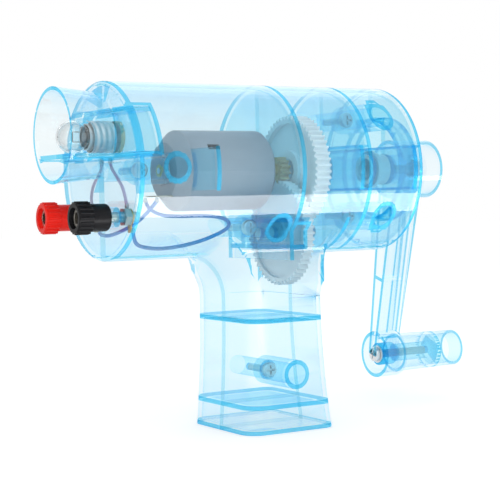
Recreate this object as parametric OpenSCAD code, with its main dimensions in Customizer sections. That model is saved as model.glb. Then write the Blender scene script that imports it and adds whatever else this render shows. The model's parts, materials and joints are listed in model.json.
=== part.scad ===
// Hand crank generator with a see-through pistol-grip housing.
// The frame has its origin in the middle of the grip's base, +Z up, the lamp at -X and the crank at +X.
// Inside the modules lengths run along the barrel: X = 0 is the barrel's front face and Z = 0 its axis.

/* [Barrel] */
// Outer radius of the barrel
barrel_r = 30; // [28:0.5:33]
// Length of the barrel, front face to rear face
barrel_len = 113; // [111:0.5:120]
// Wall thickness of the two housing halves
wall = 1.5; // [1.2:0.1:1.8]
// Thickness of the barrel's front and rear walls
end_wall = 2; // [1.6:0.1:2.4]
// Radius of the barrel's front outer edge
front_edge_r = 1.4; // [0.8:0.1:1.8]
// Radius of the barrel's rear outer edge
rear_edge_r = 1.2; // [0.8:0.1:1.8]
// Height of the raised round boss on the rear wall
rear_boss_h = 5.6; // [4:0.2:6.5]
// Gap between the two halves along the parting plane
seam = 0.1; // [0.06:0.02:0.2]

/* [Grip] */
// Height of the barrel's axis above the grip's base
axis_h = 90.3; // [86:0.5:100]
// How far the grip's front leans forward down to the base
front_lean = 2.1; // [1:0.1:4]
// How far the grip's rear leans back down to the base
rear_lean = 3.7; // [2:0.1:6]
// Radius of the grip's two front corners
front_corner_r = 6.5; // [5:0.5:8]
// Radius of the grip's two rear corners
rear_corner_r = 3.8; // [3:0.2:5]
// Radius of the flare between the grip's front and the barrel
front_flare_r = 15; // [12:0.5:16]
// Radius of the flare between the grip's rear and the barrel
rear_flare_r = 10; // [8:0.5:11]
// How far the flares sink into the barrel, so that they cross it cleanly
flare_sink = 0.6; // [0.4:0.1:1]
// Thickness of the grip's floor
floor_t = 1.5; // [1.2:0.1:2]
// Height of the upper shelf's middle above the base
upper_shelf_z = 38.5; // [34:0.5:42]
// Height of the lower shelf's middle above the base
lower_shelf_z = 9.2; // [7:0.2:12]
// Thickness of the shelves
shelf_t = 1.6; // [1.2:0.1:2]

/* [Bulkheads and bearing pockets] */
// Thickness of bulkheads, plates and ribs
plate_t = 1.6; // [1.3:0.1:1.8]
// Free width of each pocket that holds a crank bush's flange
bush_pocket_w = 1.8; // [1.6:0.1:2]
// Distance of the idler's rear bearing plate in front of the bush pocket
idler_plate_gap = 1; // [0.8:0.1:1.2]

/* [Housing screws] */
// Outer radius of the counterbored tubes in the near half
screw_tube_r = 5; // [4.8:0.1:5.2]
// Radius of the counterbores
counterbore_r = 3.5; // [3.3:0.1:3.7]
// Outer radius of the slim tubes in the far half
pilot_tube_r = 3.4; // [3:0.1:3.8]
// Radius of the screws' shanks
screw_r = 1.25; // [1.2:0.05:1.4]
// Radius of the screws' heads
screw_head_r = 2.75; // [2.5:0.05:3]
// Height of the screws' heads
screw_head_h = 1.9; // [1.6:0.1:2.2]
// Length of the screws' shanks
screw_len = 12; // [10:0.5:14]
// Floor under each screw head
screw_floor_t = 2; // [1.6:0.1:2.4]

/* [Lamp] */
// Length of the shroud in front of the barrel
shroud_len = 16.3; // [15.6:0.1:18]
// Wall thickness of the shroud
shroud_wall = 1.2; // [1:0.1:1.4]
// How far the bulb's glass stands out of the barrel's front face
bulb_reach = 14.6; // [14:0.1:15]

/* [Motor] */
// Thickness of the motor's steel can
can_t = 1; // [0.8:0.1:1.2]
// Radial air gap around the armature
air_gap = 0.5; // [0.4:0.05:0.6]

/* [Gears] */
// Teeth of the crank gear
crank_gear_teeth = 54; // [50:1:56]
// Teeth of the idler's pinion
idler_pinion_teeth = 10; // [10:1:12]
// Teeth of the motor's pinion
motor_pinion_teeth = 12; // [11:1:14]
// How much each tooth is thinned at the pitch circle, for running play
tooth_play = 0.14; // [0.1:0.01:0.18]

/* [Crank] */
// Distance from the crank's axis to the handle's axis
crank_radius = 75.6; // [70:0.5:80]
// Angle of the arm from straight down in the rest position
crank_angle = 17.1; // [0:0.1:30]
// Radius of the crank's hub
hub_r = 10.9; // [10.4:0.1:11.6]
// Length of the crank's hub
hub_len = 17.2; // [16.6:0.1:18]
// Depth of the open cup at the hub's rear
hub_cup_depth = 6.4; // [6:0.1:7]
// Wall thickness of the crank arm
arm_t = 1.4; // [1.2:0.1:1.6]
// Half width of the arm at the hub
arm_top_half_w = 5.1; // [4.6:0.1:5.6]
// Half width of the arm at the handle's boss
arm_foot_half_w = 2.2; // [2:0.1:2.6]
// Depth of the arm's channel at the hub
arm_top_depth = 12.6; // [12:0.1:13]
// Radius of the boss that carries the handle
boss_r = 9; // [8.6:0.1:9.4]
// Length of the boss that carries the handle
boss_len = 9.1; // [8.6:0.1:9.6]
// Height of the arm's middle rib
mid_rib_h = 4.5; // [4:0.1:5]

/* [Handle] */
// Outer radius of the handle next to the arm
handle_root_r = 7.6; // [7.3:0.1:8]
// Outer radius of the handle at its open end
handle_end_r = 7.1; // [6.9:0.1:7.3]
// Length of the handle
handle_len = 29.2; // [28:0.2:34]
// Wall thickness of the handle
handle_wall = 1.2; // [1:0.1:1.4]
// Depth of the open cup at the handle's free end
handle_cup_depth = 11; // [10:0.2:12]
// Radius of the handle's stem
stem_r = 3.4; // [3.2:0.1:3.8]
// Radius of the handle's screw
handle_screw_r = 1.5; // [1.4:0.05:1.6]

/* [Binding posts] */
// Radius of the cap's ribbed part
cap_rib_r = 5.4; // [5.2:0.1:5.8]
// Radius of the cap's smooth part
cap_body_r = 4.5; // [4.3:0.1:4.7]
// Length of the cap's ribbed part
cap_rib_len = 5.1; // [4.6:0.1:5.6]
// Length of the cap's smooth part
cap_body_len = 6.7; // [6.2:0.1:7.2]
// Number of ribs round the cap
cap_ribs = 20; // [16:2:24]
// Length of the clear collar between the cap and the barrel
collar_len = 3.4; // [3:0.1:3.8]
// Outer radius of the clear collar
collar_r = 3.3; // [3.1:0.1:3.6]
// Radius of the post's socket for a 4 mm plug
socket_r = 2; // [1.95:0.01:2.1]
// Radius of the stud where the cap turns on it
stud_r = 2.9; // [2.8:0.05:3]
// Radius of the stud where it passes the housing
stud_shank_r = 1.75; // [1.6:0.05:1.9]

/* [Leads] */
// Radius of the insulated leads
lead_r = 0.65; // [0.55:0.05:0.7]

/* [Hidden] */
$fn = 96;
// Overrun of cuts past the faces that they open
over = 1;
// Overlap of pieces that are fused into one
fuse = 0.4;
// Running clearance of shafts in their bores, on the radius
run = 0.06;
// Clearance of pieces that are fitted and don't turn, on the radius
fit = 0.05;
// Gap between faces that slide past each other
slide_gap = 0.3;
// Size of a cutting block, larger than the whole object
huge = barrel_len + axis_h + crank_radius;

// Sizes that follow the barrel's length, the neck's to a tenth of a millimetre
neck_front_x = round(barrel_len * 4.07) / 10;
neck_len = round(barrel_len * 2.593) / 10;
motor_x = barrel_len * 0.2142;
motor_len = barrel_len * 0.3292;
idler_pocket_w = barrel_len * 0.0354;
idler_gear_w = barrel_len * 0.0354;
crank_gear_w = barrel_len * 0.0531;
rear_bay_len = barrel_len * 0.1982;
lamp_box_depth = barrel_len * 0.0814;
bulb_base_len = lamp_box_depth * 0.935;

// Sizes that follow the barrel's radius
rear_boss_r = barrel_r * 0.6467;
neck_top_z = -barrel_r * 0.66;
motor_r = barrel_r * 0.4633;
motor_shaft_r = motor_r * 0.0827;
motor_boss_r = motor_r * 0.36;
motor_bulkhead_drop = barrel_r * 1.05;
crank_shaft_r = barrel_r * 0.1333;
bush_pocket_half_h = barrel_r * 0.26;
idler_journal_r = barrel_r * 0.0667;
idler_pocket_half_h = barrel_r * 0.13;
idler_plate_top = barrel_r * 0.5333;
shroud_z = barrel_r * 0.395;
shroud_base_r = barrel_r * 0.4733;
shroud_mouth_r = barrel_r * 0.5333;
lamp_z = barrel_r * 0.38;
lamp_box_half_h = barrel_r * 0.2467;
globe_r = barrel_r * 0.1833;
bulb_base_r = barrel_r * 0.1567;
post_y = barrel_r * 0.4367;
post_drop = barrel_r * 0.5067;

// Gears
gear_module = barrel_r * 0.02333;
addendum_share = 0.8;
dedendum_share = 1;
pressure_angle = 25;
mesh_teeth = crank_gear_teeth + idler_pinion_teeth;
idler_gear_teeth = mesh_teeth - motor_pinion_teeth;
centre_drop = gear_module * mesh_teeth / 2;
idler_gear_tip_r = gear_module * (idler_gear_teeth / 2 + addendum_share);

// Grip, in the barrel's frame
grip_half_w = idler_gear_tip_r + slide_gap * 1.8 + wall;
neck_rear_x = neck_front_x + neck_len;
neck_mid_x = neck_front_x + neck_len / 2;
neck_z = -(barrel_r - flare_sink + front_flare_r);
trunk_h = axis_h + neck_z;
front_bow_r = (trunk_h * trunk_h + front_lean * front_lean) / (2 * front_lean);
rear_bow_r = (trunk_h * trunk_h + rear_lean * rear_lean) / (2 * rear_lean);
base_mid_x = (neck_front_x - front_lean + neck_rear_x + rear_lean) / 2;
grip_inner_half_w = grip_half_w - wall;

// Places along the barrel
motor_end_x = motor_x + motor_len;
bulkhead1_x = motor_end_x + fit;
idler_pocket_x = bulkhead1_x + plate_t;
idler_front_plate_x = idler_pocket_x + idler_pocket_w;
idler_gear_x = idler_front_plate_x + plate_t + slide_gap * 2;
crank_gear_x = idler_gear_x + idler_gear_w + slide_gap * 4;
bulkhead2_x = barrel_len - rear_bay_len - plate_t;
bush_plate_x = bulkhead2_x - bush_pocket_w - plate_t;
idler_plate_x = bush_plate_x - idler_plate_gap - plate_t;
rear_wall_x = barrel_len - end_wall;
rear_plate_x = rear_wall_x - bush_pocket_w / 2 - plate_t;
boss_face_x = barrel_len + rear_boss_h;

// Housing screws: place along the barrel and height over its axis
front_screw = [motor_x * 0.57, slide_gap];
rear_top_screw = [barrel_len - rear_bay_len * 0.64, barrel_r * 0.6];
rear_low_screw = [barrel_len - rear_bay_len * 0.64, -barrel_r * 0.57];
neck_screw = [bulkhead1_x - screw_tube_r - slide_gap, -motor_r - screw_tube_r - lead_r * 2];
grip_screw = [neck_mid_x + screw_tube_r / 2, -axis_h + (upper_shelf_z + lower_shelf_z) * 0.41];
SCREWS = [front_screw, rear_top_screw, rear_low_screw, neck_screw, grip_screw];

// Wheels and shafts
crank_gear_hub_r = crank_shaft_r * 1.75;
crank_gear_web_t = crank_gear_w * 0.4;
crank_shaft_x = crank_gear_x + fit;
crank_gear_hub_end_x = bush_plate_x - slide_gap;
idler_rear_x = idler_plate_x + plate_t + slide_gap;
idler_hub_end_x = idler_plate_x - slide_gap;

// Crank bushes
bush_r = crank_shaft_r * 1.4;
bush_flange_r = bush_pocket_half_h - plate_t / 2 - fit;

// Crank arm, along its own length
hub_x = boss_face_x + slide_gap * 4;
hub_end_x = hub_x + hub_len;
hub_web_t = arm_t * 1.3;
hub_web_x = hub_end_x - hub_cup_depth - hub_web_t;
arm_front_x = hub_x;
boss_x = hub_end_x - boss_len;
boss_floor_x = hub_end_x - arm_t;
foot_front_x = boss_x - arm_t;
arm_rear_top_x = arm_front_x + arm_top_depth;
hub_socket_r = crank_shaft_r + arm_t;
cross_rib_z = -crank_radius * 0.58;
crank_screw_head_r = crank_shaft_r * 0.9;
crank_screw_head_h = hub_cup_depth * 0.4;
crank_screw_r = crank_shaft_r * 0.42;
crank_screw_len = hub_len * 0.75;

// Handle
handle_x = hub_end_x + slide_gap * 1.5;
handle_end_x = handle_x + handle_len;
partition_t = handle_wall;
partition_x = handle_end_x - handle_cup_depth - partition_t;
handle_screw_head_r = handle_screw_r * 1.9;
handle_screw_head_h = handle_screw_r * 1.2;
handle_washer_t = handle_screw_r * 0.4;
handle_washer_r = handle_screw_r * 2.3;
boss_tube_r = handle_screw_r * 2.9;
boss_tube_x = boss_x + handle_screw_r;
handle_screw_x = boss_tube_x - handle_washer_t - fit * 2;

// Lamp
socket_sleeve_r = bulb_base_r + run + can_t / 2;
globe_x = -bulb_reach + globe_r;
bulb_neck_r = bulb_base_r * 0.82;
bulb_base_x = globe_x + globe_r * 0.8;
bulb_base_end_x = bulb_base_x + bulb_base_len;
bulb_tip_h = bulb_base_r * 0.32;
socket_base_t = can_t * 1.4;
socket_base_x = lamp_box_depth - plate_t - socket_base_t - fit;
socket_base_r = socket_sleeve_r + fit * 4;
socket_clip_x = bulb_base_end_x - plate_t * 2;
lamp_shelf_z = lamp_z - lamp_box_half_h;

// Binding posts
cap_x = -collar_len - fit * 2 - cap_rib_len - cap_body_len;
cap_recess = (cap_rib_len + cap_body_len) * 0.1;
stud_front_x = cap_x + cap_recess;
nut_h = stud_shank_r * 1.3;
nut_x = end_wall + fit;
lug_t = can_t / 2;
lug_x = nut_x + nut_h + fit;
stud_end_x = lug_x + lug_t + stud_shank_r * 1.6;
nut_r = stud_shank_r * 1.8;
lug_r = stud_shank_r * 1.6;
lug_tail = stud_shank_r * 3;

// Motor insides
rotor_gap = slide_gap * 2;
magnet_t = motor_r * 0.19;
armature_r = motor_r - can_t - magnet_t - air_gap - fit;
armature_len = motor_len * 0.42;
armature_x = motor_end_x - motor_len * 0.2 - armature_len;
shoulder = motor_r * 0.3;
end_cap_t = motor_len * 0.13;
pinion_end_x = idler_gear_x + idler_gear_w - slide_gap / 2;
commutator_r = motor_shaft_r * 2.4;
commutator_len = motor_len * 0.12;
commutator_x = motor_x + end_cap_t + can_t + slide_gap * 2;
terminal_w = motor_shaft_r * 2.2;
terminal_len = motor_shaft_r * 4;
terminal_z = -motor_r * 0.62;
terminal_y = motor_r * 0.3;

// Routes of the four leads: black post to motor, red post to motor, lamp to each post.
// Each point is a share of the barrel's length behind the front wall, then shares of its radius across and up.
BLACK_LEAD_SHARES = [
    [0.0323, -0.44, -0.66], [0.0373, -0.42, -0.73], [0.0533, -0.37, -0.81], [0.0883, -0.32, -0.85],
    [0.1413, -0.28, -0.87], [0.2123, -0.27, -0.85], [0.2833, -0.25, -0.80], [0.3453, -0.23, -0.73],
    [0.3853, -0.20, -0.66], [0.3943, -0.15, -0.59], [0.3713, -0.08, -0.54], [0.3183, -0.02, -0.52],
    [0.2563, 0.05, -0.52], [0.1993, 0.08, -0.50], [0.1633, 0.11, -0.43], [0.1523, 0.14, -0.34]];
RED_LEAD_SHARES = [
    [0.0323, 0.44, -0.66], [0.0393, 0.42, -0.71], [0.0583, 0.35, -0.72], [0.0843, 0.23, -0.67],
    [0.1063, 0.07, -0.59], [0.1253, -0.05, -0.49], [0.1403, -0.12, -0.40], [0.1523, -0.14, -0.34]];
LAMP_RED_LEAD_SHARES = [
    [0.0071, 0.11, 0.10], [0.0088, 0.15, 0.02], [0.0106, 0.28, -0.07], [0.0115, 0.40, -0.18],
    [0.0124, 0.45, -0.31], [0.0159, 0.44, -0.39]];
LAMP_BLACK_LEAD_SHARES = [
    [0.0071, -0.11, 0.10], [0.0080, -0.14, 0.03], [0.0097, -0.25, -0.07], [0.0106, -0.37, -0.18],
    [0.0124, -0.43, -0.31], [0.0159, -0.43, -0.39]];
lead_sides = 8;
lead_steps = 2;

clear_blue = [0.62, 0.87, 0.97, 0.45];
milky = [0.88, 0.94, 0.98, 0.8];
steel = [0.72, 0.74, 0.76];
brass = [0.82, 0.66, 0.34];
copper = [0.72, 0.43, 0.25];

// Helpers

// Puts a piece that is drawn in the barrel's frame into the part's frame.
module in_barrel() {
    translate([-base_mid_x, 0, axis_h]) children();
}

// Extrudes an outline drawn in (Y, Z) from one X to another.
module yz(x0, x1) {
    translate([x0, 0, 0]) rotate([90, 0, 90]) linear_extrude(x1 - x0) children();
}

// Extrudes a round outline along Y, between two places.
module along_y(x, z, y0, y1) {
    translate([x, y0, z]) rotate([-90, 0, 0]) linear_extrude(y1 - y0) children();
}

// Turns a profile drawn in (radius, X) round the X axis.
module lathe() {
    rotate([90, 0, 90]) rotate_extrude() children();
}

// A plain round bar along X.
module bar(x0, x1, r) {
    yz(x0, x1) circle(r);
}

// A plain tube along X.
module tube(x0, x1, r_out, r_in) {
    difference() {
        bar(x0, x1, r_out);
        bar(x0 - over, x1 + over, r_in);
    }
}

// A block between two corners.
module block(low, high) {
    translate(low) cube(high - low);
}

// A bar along X with a rounded edge at each end.
module round_edged_bar(x0, x1, r, edge0, edge1) {
    lathe() {
        translate([0, x0 + edge0]) square([r, x1 - edge1 - x0 - edge0]);
        translate([0, x0]) square([r - edge0, edge0 + fuse]);
        translate([0, x1 - edge1 - fuse]) square([r - edge1, edge1 + fuse]);
        if (edge0 > 0) intersection() {
            translate([r - edge0, x0 + edge0]) circle(edge0);
            translate([0, x0]) square([r, edge0]);
        }
        if (edge1 > 0) intersection() {
            translate([r - edge1, x1 - edge1]) circle(edge1);
            translate([0, x1 - edge1]) square([r, edge1]);
        }
    }
}

// Housing

// Half the cross-section of the grip's trunk, from its bowed face inward, with a rounded corner on each side.
module bowed_section(r, half_w, corner_r, depth) {
    translate([r + corner_r, -half_w]) square([depth - corner_r, 2 * half_w]);
    translate([r, -half_w + corner_r]) square([depth, 2 * (half_w - corner_r)]);
    for (side = [-1, 1]) translate([r + corner_r, side * (half_w - corner_r)]) circle(corner_r, $fn = 32);
}

// One bowed face of the trunk: it stands upright at the neck and leans away from the middle down to the base.
module trunk_half(face_x, bow_r, corner_r, dir, inset) {
    depth = neck_len / 2 + trunk_h / 2;
    sweep = 2 * asin(trunk_h / bow_r);
    translate([face_x, 0, neck_z]) mirror([dir > 0 ? 0 : 1, 0, 0]) translate([-bow_r, 0, 0])
        rotate([90, 0, 0]) rotate([0, 0, -sweep]) rotate_extrude(angle = sweep, $fn = 360)
            bowed_section(bow_r + inset, grip_half_w - inset, corner_r - inset, depth);
}

// A flare between the grip and the barrel: a fillet turned round the barrel's axis.
module flare(face_x, r, dir, inset) {
    reach = neck_len / 2;
    mirror([dir > 0 ? 0 : 1, 0, 0]) translate([dir > 0 ? face_x : -face_x, 0, 0]) lathe() difference() {
        translate([barrel_r - flare_sink - wall, -reach]) square([r + wall, reach + r]);
        translate([barrel_r - flare_sink + r, r]) circle(r + inset, $fn = 64);
    }
}

// What is cut from the neck's corner, so that its rounding fades out into the flare.
module corner_horn(x, y, corner_r, flare_r, inset) {
    rise = flare_r * 0.6;
    r = corner_r - inset;
    span = r + flare_r - sqrt(flare_r * flare_r - rise * rise);
    difference() {
        block([x - span - over, y > 0 ? y : y - span - over, neck_z - fuse],
            [x + span + over, y > 0 ? y + span + over : y, neck_z + rise]);
        translate([x, y, neck_z]) rotate_extrude($fn = 48) difference() {
            translate([0, -over]) square([span, rise + over * 2]);
            translate([r + flare_r + inset, 0]) circle(flare_r + inset, $fn = 48);
            translate([r, -over * 2]) square([span, over * 2]);
        }
    }
}

// The outside of the grip, or, with an inset, the outline of its inside.
module grip_form(inset) {
    half_w = grip_half_w - inset;
    front_x = neck_front_x + inset;
    rear_x = neck_rear_x - inset;
    front_corner = [neck_front_x + front_corner_r, grip_half_w - front_corner_r];
    rear_corner = [neck_rear_x - rear_corner_r, grip_half_w - rear_corner_r];
    base_z = -axis_h + (inset > 0 ? floor_t * inset / wall : 0);
    intersection() {
        union() {
            intersection() {
                trunk_half(neck_front_x, front_bow_r, front_corner_r, 1, inset);
                block([-huge, -huge, base_z], [neck_mid_x + fuse, huge, neck_z]);
            }
            intersection() {
                trunk_half(neck_rear_x, rear_bow_r, rear_corner_r, -1, inset);
                block([neck_mid_x - fuse, -huge, base_z], [huge, huge, neck_z]);
            }
        }
        block([-huge, -huge, base_z], [huge, huge, 0]);
    }
    difference() {
        union() {
            block([front_x, -half_w, neck_z], [rear_x, half_w, neck_top_z]);
            intersection() {
                union() {
                    flare(neck_front_x, front_flare_r, -1, inset);
                    flare(neck_rear_x, rear_flare_r, 1, inset);
                }
                block([-huge, -half_w, neck_z], [huge, half_w, neck_top_z]);
            }
        }
        for (side = [-1, 1]) {
            difference() {
                corner_horn(front_corner[0], side * front_corner[1], front_corner_r, front_flare_r, inset);
                block([front_corner[0], -huge, -huge], [huge, huge, huge]);
            }
            difference() {
                corner_horn(rear_corner[0], side * rear_corner[1], rear_corner_r, rear_flare_r, inset);
                block([-huge, -huge, -huge], [rear_corner[0], huge, huge]);
            }
        }
    }
}

// The outside of the whole housing, or, with an inset, the outline of its inside.
module housing_form(inset) {
    ends = inset * end_wall / wall;
    edge0 = max(front_edge_r - inset, 0);
    edge1 = max(rear_edge_r - inset, 0);
    round_edged_bar(ends, barrel_len - ends, barrel_r - inset, edge0, edge1);
    bar(barrel_len - end_wall * 2, boss_face_x - ends, rear_boss_r - inset);
    grip_form(inset);
}

// The lamp's shroud, without its opening into the barrel.
module shroud() {
    translate([0, 0, shroud_z]) lathe() polygon([
        [shroud_base_r - shroud_wall, end_wall / 2], [shroud_base_r, end_wall / 2],
        [shroud_base_r, 0], [shroud_mouth_r, -shroud_len],
        [shroud_mouth_r - shroud_wall, -shroud_len], [shroud_base_r - shroud_wall, 0]]);
}

// The channel of a crank bearing pocket: a plate and two lips that reach to the wall behind it.
module bush_pocket(x, wall_x) {
    h = bush_pocket_half_h;
    block([x, -barrel_r, -h], [x + plate_t, barrel_r, h]);
    for (side = [-1, 1]) translate([0, 0, side * (h - plate_t / 4)])
        block([x, -barrel_r, -plate_t / 4], [wall_x + fuse, barrel_r, plate_t / 4]);
}

// All the plates and ribs inside one half, before they are trimmed to the housing.
module inner_plates() {
    block([bulkhead1_x, -barrel_r, -motor_bulkhead_drop], [bulkhead1_x + plate_t, barrel_r, barrel_r]);
    block([bulkhead2_x, -barrel_r, -barrel_r * 2], [bulkhead2_x + plate_t, barrel_r, barrel_r]);
    block([idler_plate_x, -barrel_r, -barrel_r * 2], [idler_plate_x + plate_t, barrel_r, -idler_plate_top]);
    bush_pocket(bush_plate_x, bulkhead2_x);
    bush_pocket(rear_plate_x, rear_wall_x);
    translate([0, 0, -centre_drop]) {
        h = idler_pocket_half_h + plate_t;
        block([idler_front_plate_x, -barrel_r, -h], [idler_front_plate_x + plate_t, barrel_r, h]);
        for (side = [-1, 1]) translate([0, 0, side * (h - plate_t / 2)])
            block([bulkhead1_x, -barrel_r, -plate_t / 2], [idler_front_plate_x + fuse, barrel_r, plate_t / 2]);
    }
    cradle_h = motor_r / 2;
    block([motor_x + end_cap_t - plate_t / 2, -barrel_r, -cradle_h],
        [motor_x + end_cap_t + plate_t / 2, barrel_r, cradle_h]);
    lamp_box();
    for (z = [upper_shelf_z, lower_shelf_z]) translate([0, 0, z - axis_h])
        block([neck_front_x - huge / 4, -barrel_r, -shelf_t / 2], [neck_rear_x + huge / 4, barrel_r, shelf_t / 2]);
}

// The box behind the shroud that holds the lamp's socket.
module lamp_box() {
    h = lamp_box_half_h;
    translate([0, 0, lamp_z]) {
        block([lamp_box_depth - plate_t, -barrel_r, -h], [lamp_box_depth, barrel_r, h + plate_t]);
        block([end_wall / 2, -barrel_r, h], [lamp_box_depth, barrel_r, h + plate_t]);
        block([end_wall / 2, -barrel_r, -h], [lamp_box_depth, barrel_r, -h + plate_t]);
        block([socket_clip_x, -barrel_r, -h], [socket_clip_x + plate_t, barrel_r, h]);
    }
}

// The shelf that closes the shroud below the bulb.
module shroud_shelf() {
    intersection() {
        block([-shroud_len + shroud_wall, -barrel_r, lamp_shelf_z],
            [end_wall, barrel_r, lamp_shelf_z + plate_t]);
        translate([0, 0, shroud_z]) lathe() polygon([
            [0, end_wall], [shroud_base_r - shroud_wall / 2, end_wall],
            [shroud_base_r - shroud_wall / 2, 0], [shroud_mouth_r - shroud_wall / 2, -shroud_len],
            [0, -shroud_len]]);
    }
}

// What is cut from both halves: bearings, and room for what the plates hold.
module inner_cuts() {
    bar(motor_x - over, motor_end_x, motor_r + fit);
    bar(motor_end_x - over, idler_front_plate_x + plate_t + over, motor_boss_r + fit * 2);
    bar(bush_plate_x - over, bulkhead2_x + plate_t + over, bush_r + fit);
    bar(rear_plate_x - over, boss_face_x + over, bush_r + fit);
    translate([0, 0, -centre_drop]) {
        bar(bulkhead1_x - over, idler_rear_x + over, idler_journal_r + run);
    }
    translate([0, 0, lamp_z]) bar(socket_clip_x - over, socket_clip_x + plate_t + over, socket_sleeve_r + fit);
    intersection() {
        translate([0, 0, shroud_z]) bar(-fuse, end_wall + over, shroud_base_r - shroud_wall);
        block([-huge, -huge, lamp_shelf_z + plate_t], [huge, huge, lamp_z + lamp_box_half_h]);
    }
    for (side = [-1, 1]) translate([0, side * post_y, -post_drop])
        bar(-over, end_wall + over, stud_shank_r + fit);
}

// One half of the housing's walls and plates, without its screw tubes.
module half_shell(side) {
    intersection() {
        block([-huge, side < 0 ? -huge : seam / 2, -huge], [huge, side < 0 ? -seam / 2 : huge, huge]);
        difference() {
            union() {
                difference() {
                    housing_form(0);
                    housing_form(wall);
                }
                shroud();
                shroud_shelf();
                intersection() {
                    inner_plates();
                    housing_form(wall / 2);
                }
            }
            inner_cuts();
        }
    }
}

// The near half, with a counterbored tube for each screw.
module near_shell() {
    color(clear_blue) in_barrel() difference() {
        union() {
            half_shell(-1);
            intersection() {
                union() for (s = SCREWS) along_y(s[0], s[1], -barrel_r, -seam / 2) circle(screw_tube_r);
                housing_form(wall / 2);
            }
        }
        for (s = SCREWS) {
            along_y(s[0], s[1], -barrel_r - over, -screw_floor_t) circle(counterbore_r);
            along_y(s[0], s[1], -screw_floor_t - over, over) circle(screw_r + fit * 2);
        }
    }
}

// The far half, with a slim tube that each screw bites into.
module far_shell() {
    color(clear_blue) in_barrel() difference() {
        union() {
            half_shell(1);
            intersection() {
                union() for (s = SCREWS) along_y(s[0], s[1], seam / 2, barrel_r) circle(pilot_tube_r);
                housing_form(wall / 2);
            }
        }
        for (s = SCREWS) along_y(s[0], s[1], -over, screw_len - screw_floor_t + over) circle(screw_r + fit / 2);
    }
}

// A pan-head screw along +Y with its head's seat at the origin's X and Z.
module pan_screw(r, len, head_r, head_h) {
    rotate([0, 0, 90]) {
        bar(-fuse, len, r);
        difference() {
            round_edged_bar(-head_h, 0, head_r, head_h * 0.4, 0);
            block([-head_h - over, -head_r * 0.6, -head_r * 0.12], [-head_h * 0.5, head_r * 0.6, head_r * 0.12]);
            block([-head_h - over, -head_r * 0.12, -head_r * 0.6], [-head_h * 0.5, head_r * 0.12, head_r * 0.6]);
        }
    }
}

module housing_screws() {
    color(steel) in_barrel() for (s = SCREWS) translate([s[0], -screw_floor_t - fit, s[1]])
        pan_screw(screw_r, screw_len, screw_head_r, screw_head_h);
}

// Crank bearings

// A bush with a flange that its pocket holds.
module flanged_bush(x0, x1, flange_x, flange_t) {
    difference() {
        union() {
            bar(x0, x1, bush_r);
            bar(flange_x, flange_x + flange_t, bush_flange_r);
        }
        bar(x0 - over, x1 + over, crank_shaft_r + run);
    }
}

module crank_bush_front() {
    color(milky) in_barrel()
        flanged_bush(bush_plate_x, bulkhead2_x + plate_t, bush_plate_x + plate_t + fit, bush_pocket_w - fit * 2);
}

module crank_bush_rear() {
    color(milky) in_barrel()
        flanged_bush(rear_plate_x, boss_face_x, rear_plate_x + plate_t + fit, bush_pocket_w);
}

// Motor

module motor_can() {
    color(steel) in_barrel() difference() {
        union() {
            lathe() polygon([[0, motor_x + end_cap_t], [motor_r, motor_x + end_cap_t],
                [motor_r, motor_end_x - shoulder * 0.3], [motor_r - shoulder * 0.3, motor_end_x], [0, motor_end_x]]);
            bar(motor_end_x - fuse, motor_end_x + plate_t, motor_boss_r);
        }
        bar(motor_x, motor_end_x - can_t, motor_r - can_t);
        bar(motor_x, motor_end_x + plate_t + over, motor_shaft_r * 2 + fit);
        for (side = [-1, 1]) translate([motor_x + motor_len * 0.3, 0, 0])
            rotate([side * 60, 0, 0]) block([0, 0, motor_r - can_t * 3], [motor_len * 0.12, can_t * 2, motor_r + over]);
    }
}

module motor_end_cap() {
    color([0.3, 0.32, 0.34]) in_barrel() difference() {
        union() {
            lathe() polygon([[0, motor_x], [motor_r - shoulder, motor_x], [motor_r, motor_x + shoulder],
                [motor_r, motor_x + end_cap_t - fit], [motor_r - can_t - fit, motor_x + end_cap_t - fit],
                [motor_r - can_t - fit, motor_x + end_cap_t + can_t], [0, motor_x + end_cap_t + can_t]]);
            bar(motor_x - plate_t, motor_x + fuse, motor_boss_r);
        }
        bar(motor_x - plate_t - over, motor_x + end_cap_t + can_t + over, motor_shaft_r * 2 + fit);
        motor_terminal_bars(fit);
    }
}

// The two flat tabs that carry the leads.
module motor_terminal_bars(extra) {
    for (side = [-1, 1])
        block([motor_x - terminal_len - extra, side * terminal_y - terminal_w / 2 - extra,
                terminal_z - can_t / 4 - extra],
            [motor_x + end_cap_t * 0.8 + extra, side * terminal_y + terminal_w / 2 + extra,
                terminal_z + can_t / 4 + extra]);
}

module motor_terminals() {
    color(brass) in_barrel() motor_terminal_bars(0);
}

module motor_bushes() {
    color(brass) in_barrel() {
        tube(motor_end_x - can_t * 3, motor_end_x + plate_t, motor_shaft_r * 2, motor_shaft_r + run);
        tube(motor_x - plate_t, motor_x + end_cap_t + can_t, motor_shaft_r * 2, motor_shaft_r + run);
    }
}

module motor_magnets() {
    color([0.25, 0.25, 0.27]) in_barrel() difference() {
        tube(armature_x - can_t, armature_x + armature_len + can_t, motor_r - can_t - fit,
            motor_r - can_t - fit - magnet_t);
        block([0, -motor_r, -motor_r * 0.3], [barrel_len, motor_r, motor_r * 0.3]);
    }
}

module motor_brushes() {
    color(copper) in_barrel() for (side = [-1, 1])
        block([commutator_x + commutator_len * 0.2, side > 0 ? commutator_r + fit : -commutator_r * 2.2,
                -commutator_r * 0.4],
            [commutator_x + commutator_len * 0.8, side > 0 ? commutator_r * 2.2 : -commutator_r - fit,
                commutator_r * 0.4]);
    color(copper) in_barrel() for (side = [-1, 1])
        block([motor_x + end_cap_t + can_t + fit, side > 0 ? commutator_r * 2.2 + fit : -commutator_r * 2.5,
                -commutator_r * 0.4],
            [commutator_x + commutator_len * 0.8, side > 0 ? commutator_r * 2.5 : -commutator_r * 2.2 - fit,
                commutator_r * 0.4]);
}

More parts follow.
